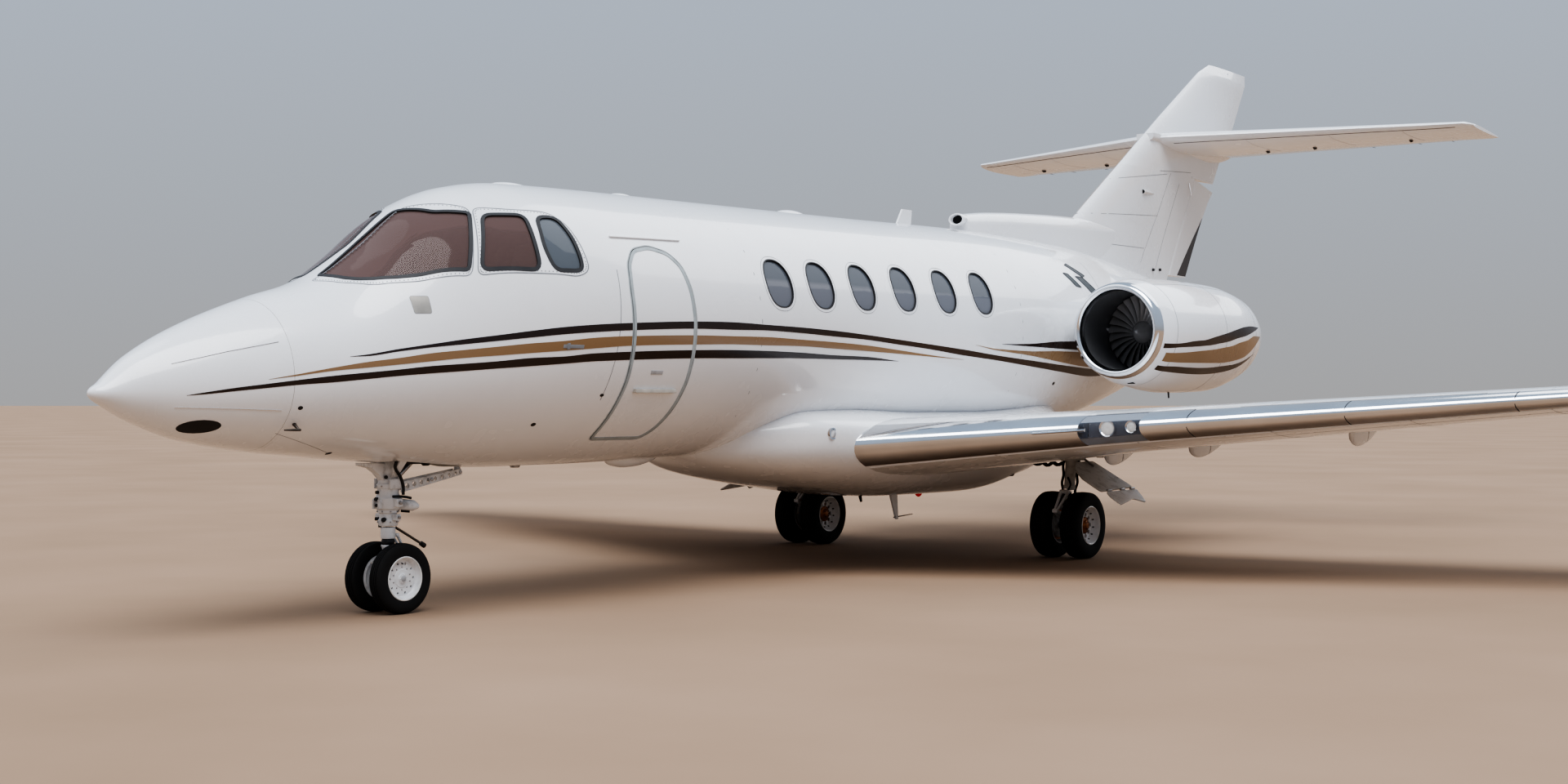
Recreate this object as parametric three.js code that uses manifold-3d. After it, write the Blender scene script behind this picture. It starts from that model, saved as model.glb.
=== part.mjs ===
// A mid-size business jet parked on its landing gear.
// Millimetres, +Z up, nose towards -Y, +X to the aircraft's own left.
// Lengths along the aircraft are stations: the distance aft of the nose tip.

import * as THREE from 'three';
import { mergeVertices } from 'three/addons/utils/BufferGeometryUtils.js';
import Module from 'manifold-3d';

const wasm = await Module();
wasm.setup();

// Overall sizes
const LENGTH = 15600;
const HALF_SPAN = 7830;
const FIN_TOP = 5280;
const GAP = 0.3;            // between pieces that touch
const MOVING_GAP = 8;       // between pieces that move
const NOSE_GAP = 14;        // round the nose of a hinged surface
const PIN = { radius: 8, sides: 8 };   // hinge pins, turning in bores
const AXLE_SIDES = 16;
const WALL = 60;            // cabin wall and door, skin to trim
const RING = 20;            // points round the fuselage

// Fuselage: station, half width, height of the widest line, top, bottom
const HULL = [
  [0, 20, 1410, 1430, 1392],
  [60, 80, 1410, 1465, 1350],
  [250, 190, 1420, 1627, 1253],
  [600, 350, 1440, 1813, 1133],
  [1100, 510, 1490, 2000, 1055],
  [1450, 605, 1530, 2106, 1022],
  [1800, 690, 1580, 2321, 988],
  [2200, 775, 1650, 2620, 961],
  [2600, 850, 1730, 2784, 930],
  [3000, 910, 1810, 2848, 918],
  [3600, 955, 1875, 2867, 918],
  [5000, 965, 1905, 2888, 945],
  [7000, 965, 1945, 2920, 980],
  [9000, 965, 1985, 2955, 1020],
  [10500, 900, 2040, 2930, 1160],
  [12000, 660, 2130, 2800, 1480],
  [13500, 360, 2260, 2600, 1900],
  [14600, 130, 2340, 2460, 2200],
];
// Stations of the frames that the skin is straight between
const FRAMES = [
  0, 60, 250, 600, 1030, 1400, 1560, 1600, 2000, 2300, 2600, 3000, 3600, 4330, 6200,
  9050, 10000, 11000, 12000, 13000, 14000, 14600,
];
const RADOME_END = 1030;
const COCKPIT_END = 4330;
const CABIN_END = 9050;
const HULL_END = 14600;
const BULKHEAD = { front: 1560, rear: 8850, thick: 40 };
const FLOOR = { top: 1320, thick: 40, front: 1600 };

// Cockpit glass: outlines as seen from the front (x, z) and from the side (station, z)
const WINDSCREEN = [[30, 2140], [395, 2116], [546, 2147], [661, 2189], [439, 2580], [30, 2588]];
const SIDE_PANES = [
  [[2330, 2190], [2735, 2205], [2905, 2590], [2560, 2580], [2440, 2500]],
  [[2790, 2205], [3040, 2230], [3150, 2300], [3215, 2420], [3160, 2540], [2960, 2592]],
];
const WINDSCREEN_STATIONS = [1380, 2480];
const GLASS = { outer: 3, seat: 26, inner: 44 };   // depths below the skin

// Cabin windows: station and height of each centre
const CABIN_WINDOWS = [[5130, 2238], [5655, 2247], [6210, 2258], [6795, 2272], [7410, 2280], [8000, 2292]];
const CABIN_WINDOW = { width: 310, height: 360 };

// Cabin door, on the left side: outline from the side (station, z), hinged along its foot
const DOOR = [
  [3430, 1100], [3960, 1100], [4040, 1170], [4085, 1300], [4112, 1500], [4115, 1950],
  [4100, 2150], [4060, 2310], [3960, 2400], [3780, 2435], [3600, 2400], [3500, 2290], [3468, 2120],
  [3468, 1500], [3445, 1250],
];

// Wing: span, leading edge station, chord, leading edge height, thickness ratio, drop of the trailing edge
const WING = [
  [560, 5750, 3750, 990, 0.135, 75],
  [1000, 5945, 3475, 1020, 0.135, 70],
  [2600, 6657, 2700, 1145, 0.125, 45],
  [7560, 8864, 1120, 1532, 0.11, 5],
  [7760, 8990, 960, 1547, 0.09, 2],
  [HALF_SPAN, 9180, 660, 1552, 0.05, 0],
];
const WING_SKIN_DEPTH = 0.07;    // share of the chord that is polished leading edge
const FLAP = { inboard: 1075, outboard: 4720, hinge: [8800, 9105], endGap: 30 };
const AILERON = { inboard: 4720, outboard: 7380, hinge: [9105, 9640], pin: [7000, 7410] };
// Flap brackets: span; arms reach down to the flap's axis
const BRACKET = { spans: [2600, 4250], half: 16, front: 380, below: 90, boss: 34 };

// Belly fairing: station, half width, height of the widest line, top, bottom
const FAIRING = [
  [4950, 120, 1080, 1180, 960],
  [5200, 560, 1090, 1230, 860],
  [5700, 960, 1110, 1330, 745],
  [6300, 1060, 1090, 1330, 655],
  [7300, 1080, 1070, 1300, 552],
  [8300, 1060, 1060, 1300, 545],
  [8900, 980, 1090, 1330, 620],
  [9600, 760, 1150, 1400, 720],
  [10300, 300, 1220, 1400, 960],
];

// Fin: height, leading edge station, chord, thickness
const FIN = [
  [2560, 10400, 3400, 330],
  [3000, 10950, 3120, 250],
  [3250, 11290, 2940, 225],
  [4150, 12690, 2150, 190],
  [4550, 13310, 1880, 170],
  [5160, 14290, 1290, 120],
  [FIN_TOP, 14560, 1040, 60],
];
const RUDDER = { bottom: 2760, top: 3900, hinge: [13400, 14100], fall: 50, pin: [3800, 3940] };

// Tailplane: span, leading edge station, chord, leading edge height, thickness ratio, drop
const TAILPLANE = [
  [0, 13040, 1930, 4262, 0.10, 30],
  [80, 13075, 1900, 4264, 0.10, 30],
  [2740, 14270, 1130, 4310, 0.09, 35],
  [2980, 14370, 1090, 4316, 0.08, 40],
  [3050, 14520, 900, 4316, 0.04, 40],
];
const ELEVATOR = { inboard: 170, outboard: 2700, hinge: [14330, 14960], pin: [140, 2730] };

// Dorsal fairing ahead of the fin: station, half width, ridge height
const DORSAL = [
  [9100, 105, 3085],
  [9500, 125, 3130],
  [10300, 140, 3185],
  [11100, 150, 3225],
  [11500, 150, 3230],
];
const SCOOP = { radius: 62, depth: 300, z: 3005 };

// Engines
const ENGINE = { x: 1500, z: 2000, fan: 9900, sides: 20 };
// Nacelle outside: station, radius
const NACELLE = [[9410, 440], [9600, 474], [10300, 500], [11000, 490], [11500, 430], [11760, 345]];
const NACELLE_BORE = [[11760, 322], [11500, 364], [9750, 364], [9410, 352]];
// Polished lip, closed profile: station, radius
const LIP = [[9409.7, 352], [9340, 362], [9320, 392], [9335, 418], [9409.7, 439.5]];
const FAN = { blades: 12, radius: 350, hub: 110, chord: 110, pitch: 0.7, thick: 7 };
// Engine block behind the fan, one closed profile: station, radius
const CORE = [
  [9995.3, 0], [9995.3, 60], [10010, 60], [10010, 363.5], [10060, 363.5], [10080, 300], [11300, 250], [11300, 180],
  [11600, 60], [11600, 0],
];
const PYLON = { front: 9850, rear: 11650, height: 150, z: 2050 };

const WHEEL_SIDES = 20;

// Nose gear
const NOSE_GEAR = { station: 2160, radius: 227.5, width: 108, rim: 150, track: 118 };
const NOSE_STRUT = { radius: 52, foot: 560, top: 1130, piston: 32 };
const NOSE_BAY = { front: 1720, doorEnd: 2070, rear: 2640, half: 165, roof: 1275, wall: 12 };

// Main gear
const MAIN_GEAR = { station: 8642, x: 1395, radius: 287.5, width: 178, rim: 190, track: 146 };
const MAIN_STRUT = { radius: 50, foot: 590, piston: 36 };

// Jacking pads: flat round bosses under the nose and each wing
const JACK_PAD = { radius: 36, drop: 14, nose: 3300, wing: { x: 2050, station: 8000 } };

const at = (station) => station - LENGTH / 2;

// Finishes
const finish = (color, roughness, metalness) => new THREE.MeshStandardMaterial({ color, roughness, metalness });
const FINISH = {
  paint: finish(0xf1f1f4, 0.25, 0.0),
  polished: finish(0xc9ccd2, 0.15, 1.0),
  glass: finish(0x3a302a, 0.05, 0.0),
  dark: finish(0x1d1e20, 0.5, 0.3),
  steel: finish(0x8e9296, 0.4, 0.9),
  gear: finish(0xd5d8db, 0.45, 0.2),
  tyre: finish(0x17171a, 0.85, 0.0),
  leather: finish(0xb9a184, 0.6, 0.0),
  trim: finish(0x6f675e, 0.8, 0.0),
};

const aircraft = new THREE.Group();

// Turns a closed geometry into a solid whose faces point out.
function solid(geometry) {
  const bare = geometry.index ? geometry.clone() : geometry;
  bare.deleteAttribute('normal');
  bare.deleteAttribute('uv');
  const merged = mergeVertices(bare, 1e-3);
  const points = merged.attributes.position.array;
  const triangles = Uint32Array.from(merged.index.array);
  if (volume(points, triangles) < 0) triangles.reverse();
  return new wasm.Manifold(new wasm.Mesh({
    numProp: 3, vertProperties: Float32Array.from(points), triVerts: triangles,
  }));
}

function volume(points, triangles) {
  const corner = (i) => new THREE.Vector3().fromArray(points, 3 * triangles[i]);
  let total = 0;
  for (let i = 0; i < triangles.length; i += 3) {
    total += corner(i).dot(corner(i + 1).cross(corner(i + 2)));
  }
  return total;
}

function shape(body) {
  const { vertProperties, triVerts } = body.getMesh();
  const geometry = new THREE.BufferGeometry();
  geometry.setAttribute('position', new THREE.BufferAttribute(vertProperties, 3));
  geometry.setIndex(new THREE.BufferAttribute(triVerts, 1));
  geometry.computeVertexNormals();
  return geometry;
}

function piece(name, body, material, parent = aircraft) {
  const mesh = new THREE.Mesh(shape(body), material);
  mesh.name = name;
  parent.add(mesh);
  return mesh;
}

// The same body on the other side of the aircraft.
function mirrored(body) {
  const geometry = shape(body).scale(-1, 1, 1);
  geometry.index.array.reverse();
  return solid(geometry);
}

function pair(name, body, material) {
  piece(`${name}_left`, body, material);
  piece(`${name}_right`, mirrored(body), material);
}

const join = (bodies) => bodies.reduce((all, body) => all.add(body));
const cut = (body, tools) => tools.reduce((rest, tool) => rest.subtract(tool), body);

// Every column of a table at one place, on smooth curves through its rows.
function faired(rows, place) {
  const last = rows.length - 1;
  let i = 0;
  while (i < last - 1 && rows[i + 1][0] < place) i += 1;
  const span = rows[i + 1][0] - rows[i][0];
  const t = THREE.MathUtils.clamp((place - rows[i][0]) / span, 0, 1);
  const rise = (j, k) => (rows[j + 1][k] - rows[j][k]) / (rows[j + 1][0] - rows[j][0]);
  const slope = (j, k) => {
    if (j === 0) return rise(0, k);
    if (j === last) return rise(last - 1, k);
    const [before, after] = [rise(j - 1, k), rise(j, k)];
    return before * after <= 0 ? 0 : (2 * before * after) / (before + after);
  };
  return rows[i].slice(1).map((value, column) => {
    const k = column + 1;
    const next = rows[i + 1][k];
    return value * (2 * t ** 3 - 3 * t ** 2 + 1) + next * (3 * t ** 2 - 2 * t ** 3)
      + span * (slope(i, k) * (t ** 3 - 2 * t ** 2 + t) + slope(i + 1, k) * (t ** 3 - t ** 2));
  });
}

// A closed body through a row of rings that have the same number of points.
function loft(rings) {
  const count = rings[0].length;
  const points = rings.flat();
  const triangles = [];
  for (let i = 0; i + 1 < rings.length; i += 1) {
    for (let j = 0; j < count; j += 1) {
      const [a, b] = [i * count + j, i * count + ((j + 1) % count)];
      triangles.push(a, b, a + count, b, b + count, a + count);
    }
  }
  const close = (ring, offset, flip) => {
    const middle = ring.reduce((sum, p) => sum.add(p), new THREE.Vector3()).divideScalar(count);
    points.push(middle);
    for (let j = 0; j < count; j += 1) {
      const edge = [offset + j, offset + ((j + 1) % count)];
      if (flip) edge.reverse();
      triangles.push(points.length - 1, ...edge);
    }
  };
  close(rings[0], 0, true);
  close(rings[rings.length - 1], (rings.length - 1) * count, false);
  const geometry = new THREE.BufferGeometry().setFromPoints(points);
  geometry.setIndex(triangles);
  return solid(geometry);
}

// Prisms: an outline drawn in one view and pushed through the aircraft along the third axis.
function prism(outline, depth) {
  const drawn = new THREE.Shape(outline.map(([u, v]) => new THREE.Vector2(u, v)));
  return new THREE.ExtrudeGeometry(drawn, { depth, bevelEnabled: false });
}

function planPrism(outline, low, high) {
  return solid(prism(outline.map(([x, station]) => [x, at(station)]), high - low).translate(0, 0, low));
}

function sidePrism(outline, low, high) {
  const geometry = prism(outline.map(([station, z]) => [at(station), z]), high - low);
  geometry.applyMatrix4(new THREE.Matrix4().makeBasis(
    new THREE.Vector3(0, 1, 0), new THREE.Vector3(0, 0, 1), new THREE.Vector3(1, 0, 0),
  ));
  return solid(geometry.translate(low, 0, 0));
}

function frontPrism(outline, front, rear) {
  const geometry = prism(outline, rear - front);
  geometry.applyMatrix4(new THREE.Matrix4().makeBasis(
    new THREE.Vector3(1, 0, 0), new THREE.Vector3(0, 0, 1), new THREE.Vector3(0, -1, 0),
  ));
  return solid(geometry.translate(0, at(rear), 0));
}

// A box from its low and high corners, with stations along the aircraft.
function block([x0, s0, z0], [x1, s1, z1]) {
  const geometry = new THREE.BoxGeometry(x1 - x0, s1 - s0, z1 - z0);
  return solid(geometry.translate((x0 + x1) / 2, at((s0 + s1) / 2), (z0 + z1) / 2));
}

// A round bar, tapered if the second radius differs, between two points (x, y, z).
function bar(from, to, radius, endRadius = radius, sides = 10) {
  const [start, end] = [new THREE.Vector3(...from), new THREE.Vector3(...to)];
  const along = end.clone().sub(start);
  const geometry = new THREE.CylinderGeometry(endRadius, radius, along.length(), sides);
  const turn = new THREE.Quaternion().setFromUnitVectors(new THREE.Vector3(0, 1, 0), along.normalize());
  geometry.applyQuaternion(turn).translate(...start.add(end).multiplyScalar(0.5));
  return solid(geometry);
}

// A pin that turns, and the bore that it turns in
const pin = (from, to) => bar(from, to, PIN.radius, PIN.radius, PIN.sides);

function bore(from, to, radius = PIN.radius, sides = PIN.sides) {
  const grown = radius / Math.cos(Math.PI / sides) + GAP;
  const [start, end] = [new THREE.Vector3(...from), new THREE.Vector3(...to)];
  const past = end.clone().sub(start).setLength(2);
  return bar(start.sub(past).toArray(), end.add(past).toArray(), grown, grown, sides);
}

// A round body: profile of [distance along, radius], turned about the Y axis.
function turned(profile, sides) {
  return new THREE.LatheGeometry(profile.map(([along, r]) => new THREE.Vector2(r, along)), sides);
}

function oval([station, z], width, height, sides = 10) {
  return Array.from({ length: sides }, (_, i) => {
    const angle = (2 * Math.PI * i) / sides;
    return [station + (width / 2) * Math.cos(angle), z + (height / 2) * Math.sin(angle)];
  });
}

// The outline moved towards its own middle by a margin.
function shrunk(outline, margin) {
  const middle = outline.reduce(([u, v], p) => [u + p[0] / outline.length, v + p[1] / outline.length], [0, 0]);
  return outline.map(([u, v]) => {
    const [du, dv] = [u - middle[0], v - middle[1]];
    const scale = 1 - (1.25 * margin) / Math.hypot(du, dv);
    return [middle[0] + du * scale, middle[1] + dv * scale];
  });
}

// Fuselage
function ovalRing(table, station, inset, power = 1) {
  const [half, middle, top, bottom] = faired(table, station);
  return Array.from({ length: RING }, (_, i) => {
    const angle = (2 * Math.PI * i) / RING;
    const [c, s] = [Math.cos(angle), Math.sin(angle)];
    const height = s > 0 ? top - middle : middle - bottom;
    return new THREE.Vector3(
      Math.sign(c) * (half - inset) * Math.abs(c) ** power, at(station),
      middle + Math.sign(s) * (height - inset) * Math.abs(s) ** power,
    );
  });
}

// A ring of the fuselage, straight between its frames.
function hullRing(station, inset) {
  const next = Math.max(1, FRAMES.findIndex((frame) => frame >= station));
  const [low, high] = [FRAMES[next - 1], FRAMES[next]];
  const [before, after] = [ovalRing(HULL, low, inset), ovalRing(HULL, high, inset)];
  return before.map((point, i) => point.lerp(after[i], (station - low) / (high - low)));
}

function hullBody(from, to, inset = 0) {
  const between = FRAMES.filter((frame) => frame > from + 1 && frame < to - 1);
  return loft([from, ...between, to].map((station) => hullRing(station, inset)));
}

function radome() {
  return hullBody(0, RADOME_END - GAP).subtract(hullBody(250, RADOME_END + 20, 25));
}

// The wall between two depths below the skin.
function layer(from, to, outer, inner) {
  return hullBody(from, to, outer).subtract(hullBody(from - 10, to + 10, inner));
}

const windscreenCut = (margin) => {
  const left = frontPrism(shrunk(WINDSCREEN, margin), ...WINDSCREEN_STATIONS);
  return left.add(mirrored(left));
};

const sideCut = (outlines, margin) => join(outlines.map((o) => sidePrism(shrunk(o, margin), -1200, 1200)));

const cockpitGlassZone = () => block([-900, 1480, 2080], [900, 3290, 2700]);

function cockpitGlazing() {
  const openings = windscreenCut(GAP).add(sideCut(SIDE_PANES, GAP));
  const panes = layer(1400, 3300, GLASS.outer, GLASS.seat + 2).intersect(openings);
  const band = layer(1400, 3300, GLASS.seat + GAP, GLASS.inner);
  return panes.add(band).intersect(cockpitGlassZone());
}

function forwardFuselage() {
  const outer = hullBody(RADOME_END, COCKPIT_END - GAP);
  const inner = hullBody(RADOME_END + 60, COCKPIT_END + 20, WALL);
  const seat = layer(1400, 3300, GLASS.seat, WALL + 2)
    .intersect(block([-900, 1470, 2070], [900, 3300, 2710]));
  const { front, rear, half } = NOSE_BAY;
  const belly = faired(HULL, JACK_PAD.nose)[3];
  const pad = bar([0, at(JACK_PAD.nose), belly - JACK_PAD.drop], [0, at(JACK_PAD.nose), belly + 30], JACK_PAD.radius);
  return cut(outer.add(pad), [
    inner, seat, windscreenCut(0), sideCut(SIDE_PANES, 0), sidePrism(DOOR, 300, 1200),
    block([-half - GAP, front - GAP, 850], [half + GAP, rear + GAP, 1200]),
  ]);
}

const cabinWindowCut = (margin) => join(CABIN_WINDOWS.map((centre) => sidePrism(
  oval(centre, CABIN_WINDOW.width - 2 * margin, CABIN_WINDOW.height - 2 * margin), 500, 1200,
)));

const cabinBand = (margin) => block([500, 4800 - margin, 2000 - margin], [1200, 8350 + margin, 2530 + margin]);

function cabinGlazing() {
  const panes = layer(4700, 8500, GLASS.outer, GLASS.seat + 2).intersect(cabinWindowCut(GAP));
  const band = layer(4700, 8500, GLASS.seat + GAP, GLASS.inner).intersect(cabinBand(0));
  return panes.add(band);
}

function cabinFuselage() {
  const outer = hullBody(COCKPIT_END, CABIN_END - GAP);
  const inner = hullBody(COCKPIT_END - 20, CABIN_END + 20, WALL);
  const seat = layer(4700, 8500, GLASS.seat, WALL + 2).intersect(cabinBand(2));
  const leftCut = seat.add(cabinWindowCut(0));
  return cut(outer, [inner, leftCut, mirrored(leftCut)]);
}

function tailFuselage() {
  const outer = hullBody(CABIN_END, HULL_END);
  const inner = hullBody(CABIN_END - 20, 13400, WALL);
  return outer.subtract(inner);
}

function cabinDoor() {
  const panel = layer(3300, 4250, 0, WALL).intersect(sidePrism(shrunk(DOOR, MOVING_GAP), 300, 1200));
  // Steps: height up the door, depth
  const treads = [1420, 1690, 1960].map((z) => {
    const wall = faired(HULL, 3780)[0] - WALL;
    return block([wall - 230, 3560, z], [wall - 8, 4020, z + 28]);
  });
  const rails = [3560, 3990].map((s) => block([640, s, 1390], [900, s + 30, 2080]));
  const inside = hullBody(3300, 4250, WALL - 4);
  const door = join([panel, ...treads.concat(rails).map((body) => body.intersect(inside))]);
  // The foot's inner corners are set back to swing past the frame
  const core = hullBody(3300, 4250, 20);
  const corners = [[3400, 3490], [3920, 4100]].map(([front, rear]) => block([300, front, 1050], [900, rear, 1360]));
  return cut(door, corners.map((corner) => corner.intersect(core)));
}

function bulkhead(station) {
  return hullBody(station, station + BULKHEAD.thick, WALL + GAP);
}

function cabinFloor() {
  const inside = hullBody(FLOOR.front, BULKHEAD.rear - GAP, WALL + GAP);
  return inside.intersect(block([-1000, 1600, FLOOR.top - FLOOR.thick], [1000, BULKHEAD.rear, FLOOR.top]));
}

function instrumentPanel() {
  const inside = hullBody(BULKHEAD.front, 2300, WALL + GAP);
  const outline = [
    [1580, FLOOR.top + GAP], [2000, FLOOR.top + GAP], [2000, 1500], [2160, 1560], [2140, 2020], [2200, 2060],
    [2190, 2090], [1900, 2110], [1580, 2090],
  ];
  const desk = sidePrism(outline, -760, 760);
  const knees = [-1, 1].map((side) => block([side * 380 - 210, 1740, FLOOR.top - 10], [side * 380 + 210, 2300, 1640]));
  return cut(inside.intersect(desk), knees).add(bulkhead(BULKHEAD.front));
}

// A seat on its pedestal: its middle, the station of its back's foot and which way it faces (1 aft, -1 forward)
function seat(x, station, facing, floor = FLOOR.top + GAP) {
  const side = (points, half) => sidePrism(
    points.map(([s, z]) => [station + facing * s, floor + z]), x - half, x + half,
  );
  return join([
    side([[-10, 240], [500, 270], [520, 400], [80, 380]], 229),
    side([[-10, 240], [90, 250], [-60, 1120], [-160, 1100]], 229),
    side([[60, 0], [400, 0], [380, 265], [80, 265]], 150),
  ]);
}

function cabinSeats(x) {
  // Station of each back's foot and the way it faces
  const rows = [[4900, 1], [6500, -1], [6700, 1], [8350, -1]];
  const inside = hullBody(4400, BULKHEAD.rear - 5, WALL + 2);
  const rail = block([x - 60, 4800, FLOOR.top + GAP], [x + 60, 8500, FLOOR.top + 14]);
  return join([rail, ...rows.map(([station, facing]) => seat(x, station, facing))]).intersect(inside);
}

// Wing and tail surfaces
function foil(chord, ratio, count = 7) {
  const half = (u) => 5 * ratio * chord
    * (0.2969 * Math.sqrt(u) - 0.126 * u - 0.3516 * u ** 2 + 0.2843 * u ** 3 - 0.1036 * u ** 4) + 2.5 * u;
  const places = Array.from({ length: count + 1 }, (_, i) => 0.5 - 0.5 * Math.cos((Math.PI * i) / count));
  const upper = places.slice(1).reverse().map((u) => [u * chord, half(u)]);
  const lower = places.map((u) => [u * chord, -half(u)]);
  return [...upper, ...lower];
}

function surface(table) {
  return loft(table.map(([span, leading, chord, z, ratio, drop]) => foil(chord, ratio).map(([along, up]) => (
    new THREE.Vector3(span, at(leading + along), z + up - (drop * along) / chord)
  ))));
}

// Height of a surface's middle line at a span and station.
function middleLine(table, span, station) {
  const [leading, chord, z, , drop] = faired(table, span);
  return z - (drop * (station - leading)) / chord;
}

function halfThickness(table, span, station) {
  const [leading, chord, , ratio] = faired(table, span);
  const u = (station - leading) / chord;
  return 5 * ratio * chord
    * (0.2969 * Math.sqrt(u) - 0.126 * u - 0.3516 * u ** 2 + 0.2843 * u ** 3 - 0.1036 * u ** 4);
}

const line = ([a, b], [from, to], place) => a + ((b - a) * (place - from)) / (to - from);

// Everything behind a hinge line, with ends square to it: ahead, trimmed by the margins
function behind(from, to, endMargin, frontMargin = 0) {
  const [start, end] = [new THREE.Vector3(...from), new THREE.Vector3(...to)];
  const along = end.clone().sub(start).normalize();
  const aft = new THREE.Vector3(0, 0, 1).cross(along).normalize();
  const length = start.distanceTo(end);
  const box = new THREE.BoxGeometry(length - 2 * endMargin, 2500, 1200).translate(length / 2, 1250 + frontMargin, 0);
  box.applyMatrix4(new THREE.Matrix4().makeBasis(along, aft, along.clone().cross(aft)));
  return solid(box.translate(...from));
}

// A hinged surface with a round nose, and the room that its wing leaves for it.
function hinged(table, { inboard, outboard, hinge, pin: ends }) {
  const place = (x) => {
    const station = line(hinge, [inboard, outboard], x);
    return { point: [x, at(station), middleLine(table, x, station)], r: halfThickness(table, x, station) * 0.94 };
  };
  const [a, b] = [place(inboard), place(outboard)];
  const [c, d] = [place(inboard + MOVING_GAP), place(outboard - MOVING_GAP)];
  const [e, f] = ends.map((x) => place(x).point);
  const swung = surface(table).intersect(behind(a.point, b.point, MOVING_GAP)).add(bar(c.point, d.point, c.r, d.r));
  const aft = behind(a.point, b.point, 0);
  const room = join([aft, bar(a.point, b.point, a.r + NOSE_GAP, b.r + NOSE_GAP), bore(e, f)]);
  return { swung: swung.add(pin(e, f)), room, aft };
}

function fairingBody(grow = 0) {
  const stations = [4950, 5080, 5300, 5700, 6300, 7300, 8300, 8900, 9600, 10300];
  return loft(stations.map((s) => ovalRing(FAIRING, s, -grow, 0.72)));
}

// The flap swings about an axis below the wing: a wing bracket with a pin, and an arm on the flap.
function flapBracket(x) {
  const place = (span, hinge) => {
    const z = middleLine(WING, span, hinge) - halfThickness(WING, span, hinge);
    return [span, at(hinge), z - BRACKET.below];
  };
  const [a, b] = [place(FLAP.inboard, FLAP.hinge[0]), place(FLAP.outboard, FLAP.hinge[1])];
  const share = (span) => (span - FLAP.inboard) / (FLAP.outboard - FLAP.inboard);
  const onAxis = (span) => a.map((value, k) => value + (b[k] - value) * share(span));
  const { half, front, below, boss } = BRACKET;
  const [, y, z] = onAxis(x);
  const station = y + LENGTH / 2;
  const side = (outline, low, high) => sidePrism(outline.map(([s, up]) => [station + s, z + up]), low, high);
  const arm = [[-8, 20], [14, -14], [170, below - 10], [170, below + 34], [20, below + 34]];
  const [from, to] = [onAxis(x - 3 * half), onAxis(x + 3 * half)];
  return {
    fixed: join([
      side([[-front, below + 20], [-20, below + 20], [-20, 20], [10, -boss / 2], [-10, -boss], [-60, -boss]], x - half, x + half),
      pin(onAxis(x), to),
    ]),
    swung: cut(side(arm, x + half + MOVING_GAP, x + 2 * half + MOVING_GAP)
      .add(bar(onAxis(x + half + MOVING_GAP), onAxis(x + 2 * half + MOVING_GAP), boss)), [bore(from, to)]),
  };
}

function wings() {
  const whole = surface(WING);
  const aileron = hinged(WING, AILERON);
  const flapEnd = (k, x) => [x, at(FLAP.hinge[k]), middleLine(WING, x, FLAP.hinge[k])];
  const flapLine = [flapEnd(0, FLAP.inboard), flapEnd(1, FLAP.outboard)];
  const edge = (margin) => planPrism([
    ...WING.map(([span, leading]) => [span, leading - 400]),
    ...WING.map(([span, leading, chord]) => [span, leading + WING_SKIN_DEPTH * chord + margin]).reverse(),
  ], 0, 3000);
  const root = fairingBody(GAP).add(mirrored(fairingBody(GAP)));
  const { x, station } = MAIN_GEAR;
  const recess = block([x - 170, station - 130, 0], [x + 130, station + 130, middleLine(WING, x, station) - 30]);
  const flap = cut(whole.intersect(behind(...flapLine, MOVING_GAP, MOVING_GAP)), [
    root, moved(aileron.aft, -FLAP.endGap, 0, 0),
  ]);
  const { radius, drop, wing } = JACK_PAD;
  const under = middleLine(WING, wing.x, wing.station) - halfThickness(WING, wing.x, wing.station);
  const pad = bar([wing.x, at(wing.station), under - drop], [wing.x, at(wing.station), under + 60], radius);
  const arms = BRACKET.spans.map(flapBracket);
  const fixed = cut(whole, [edge(0), behind(...flapLine, 0), aileron.room, root, recess]);
  pair('wing', join([fixed, pad, ...arms.map((arm) => arm.fixed)]), FINISH.paint);
  pair('wing_leading_edge', whole.intersect(edge(-GAP)).subtract(root), FINISH.polished);
  pair('flap', join([flap, ...arms.map((arm) => arm.swung)]), FINISH.paint);
  pair('aileron', aileron.swung, FINISH.paint);
}

function bellyFairing() {
  return fairingBody().subtract(hullBody(4700, 10500, -GAP));
}

function finBody() {
  const profile = (chord, thick) => foil(chord, thick / chord, 6);
  return loft(FIN.map(([z, leading, chord, thick]) => profile(chord, thick).map(([along, across]) => (
    new THREE.Vector3(across, at(leading + along), z)
  ))));
}

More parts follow.
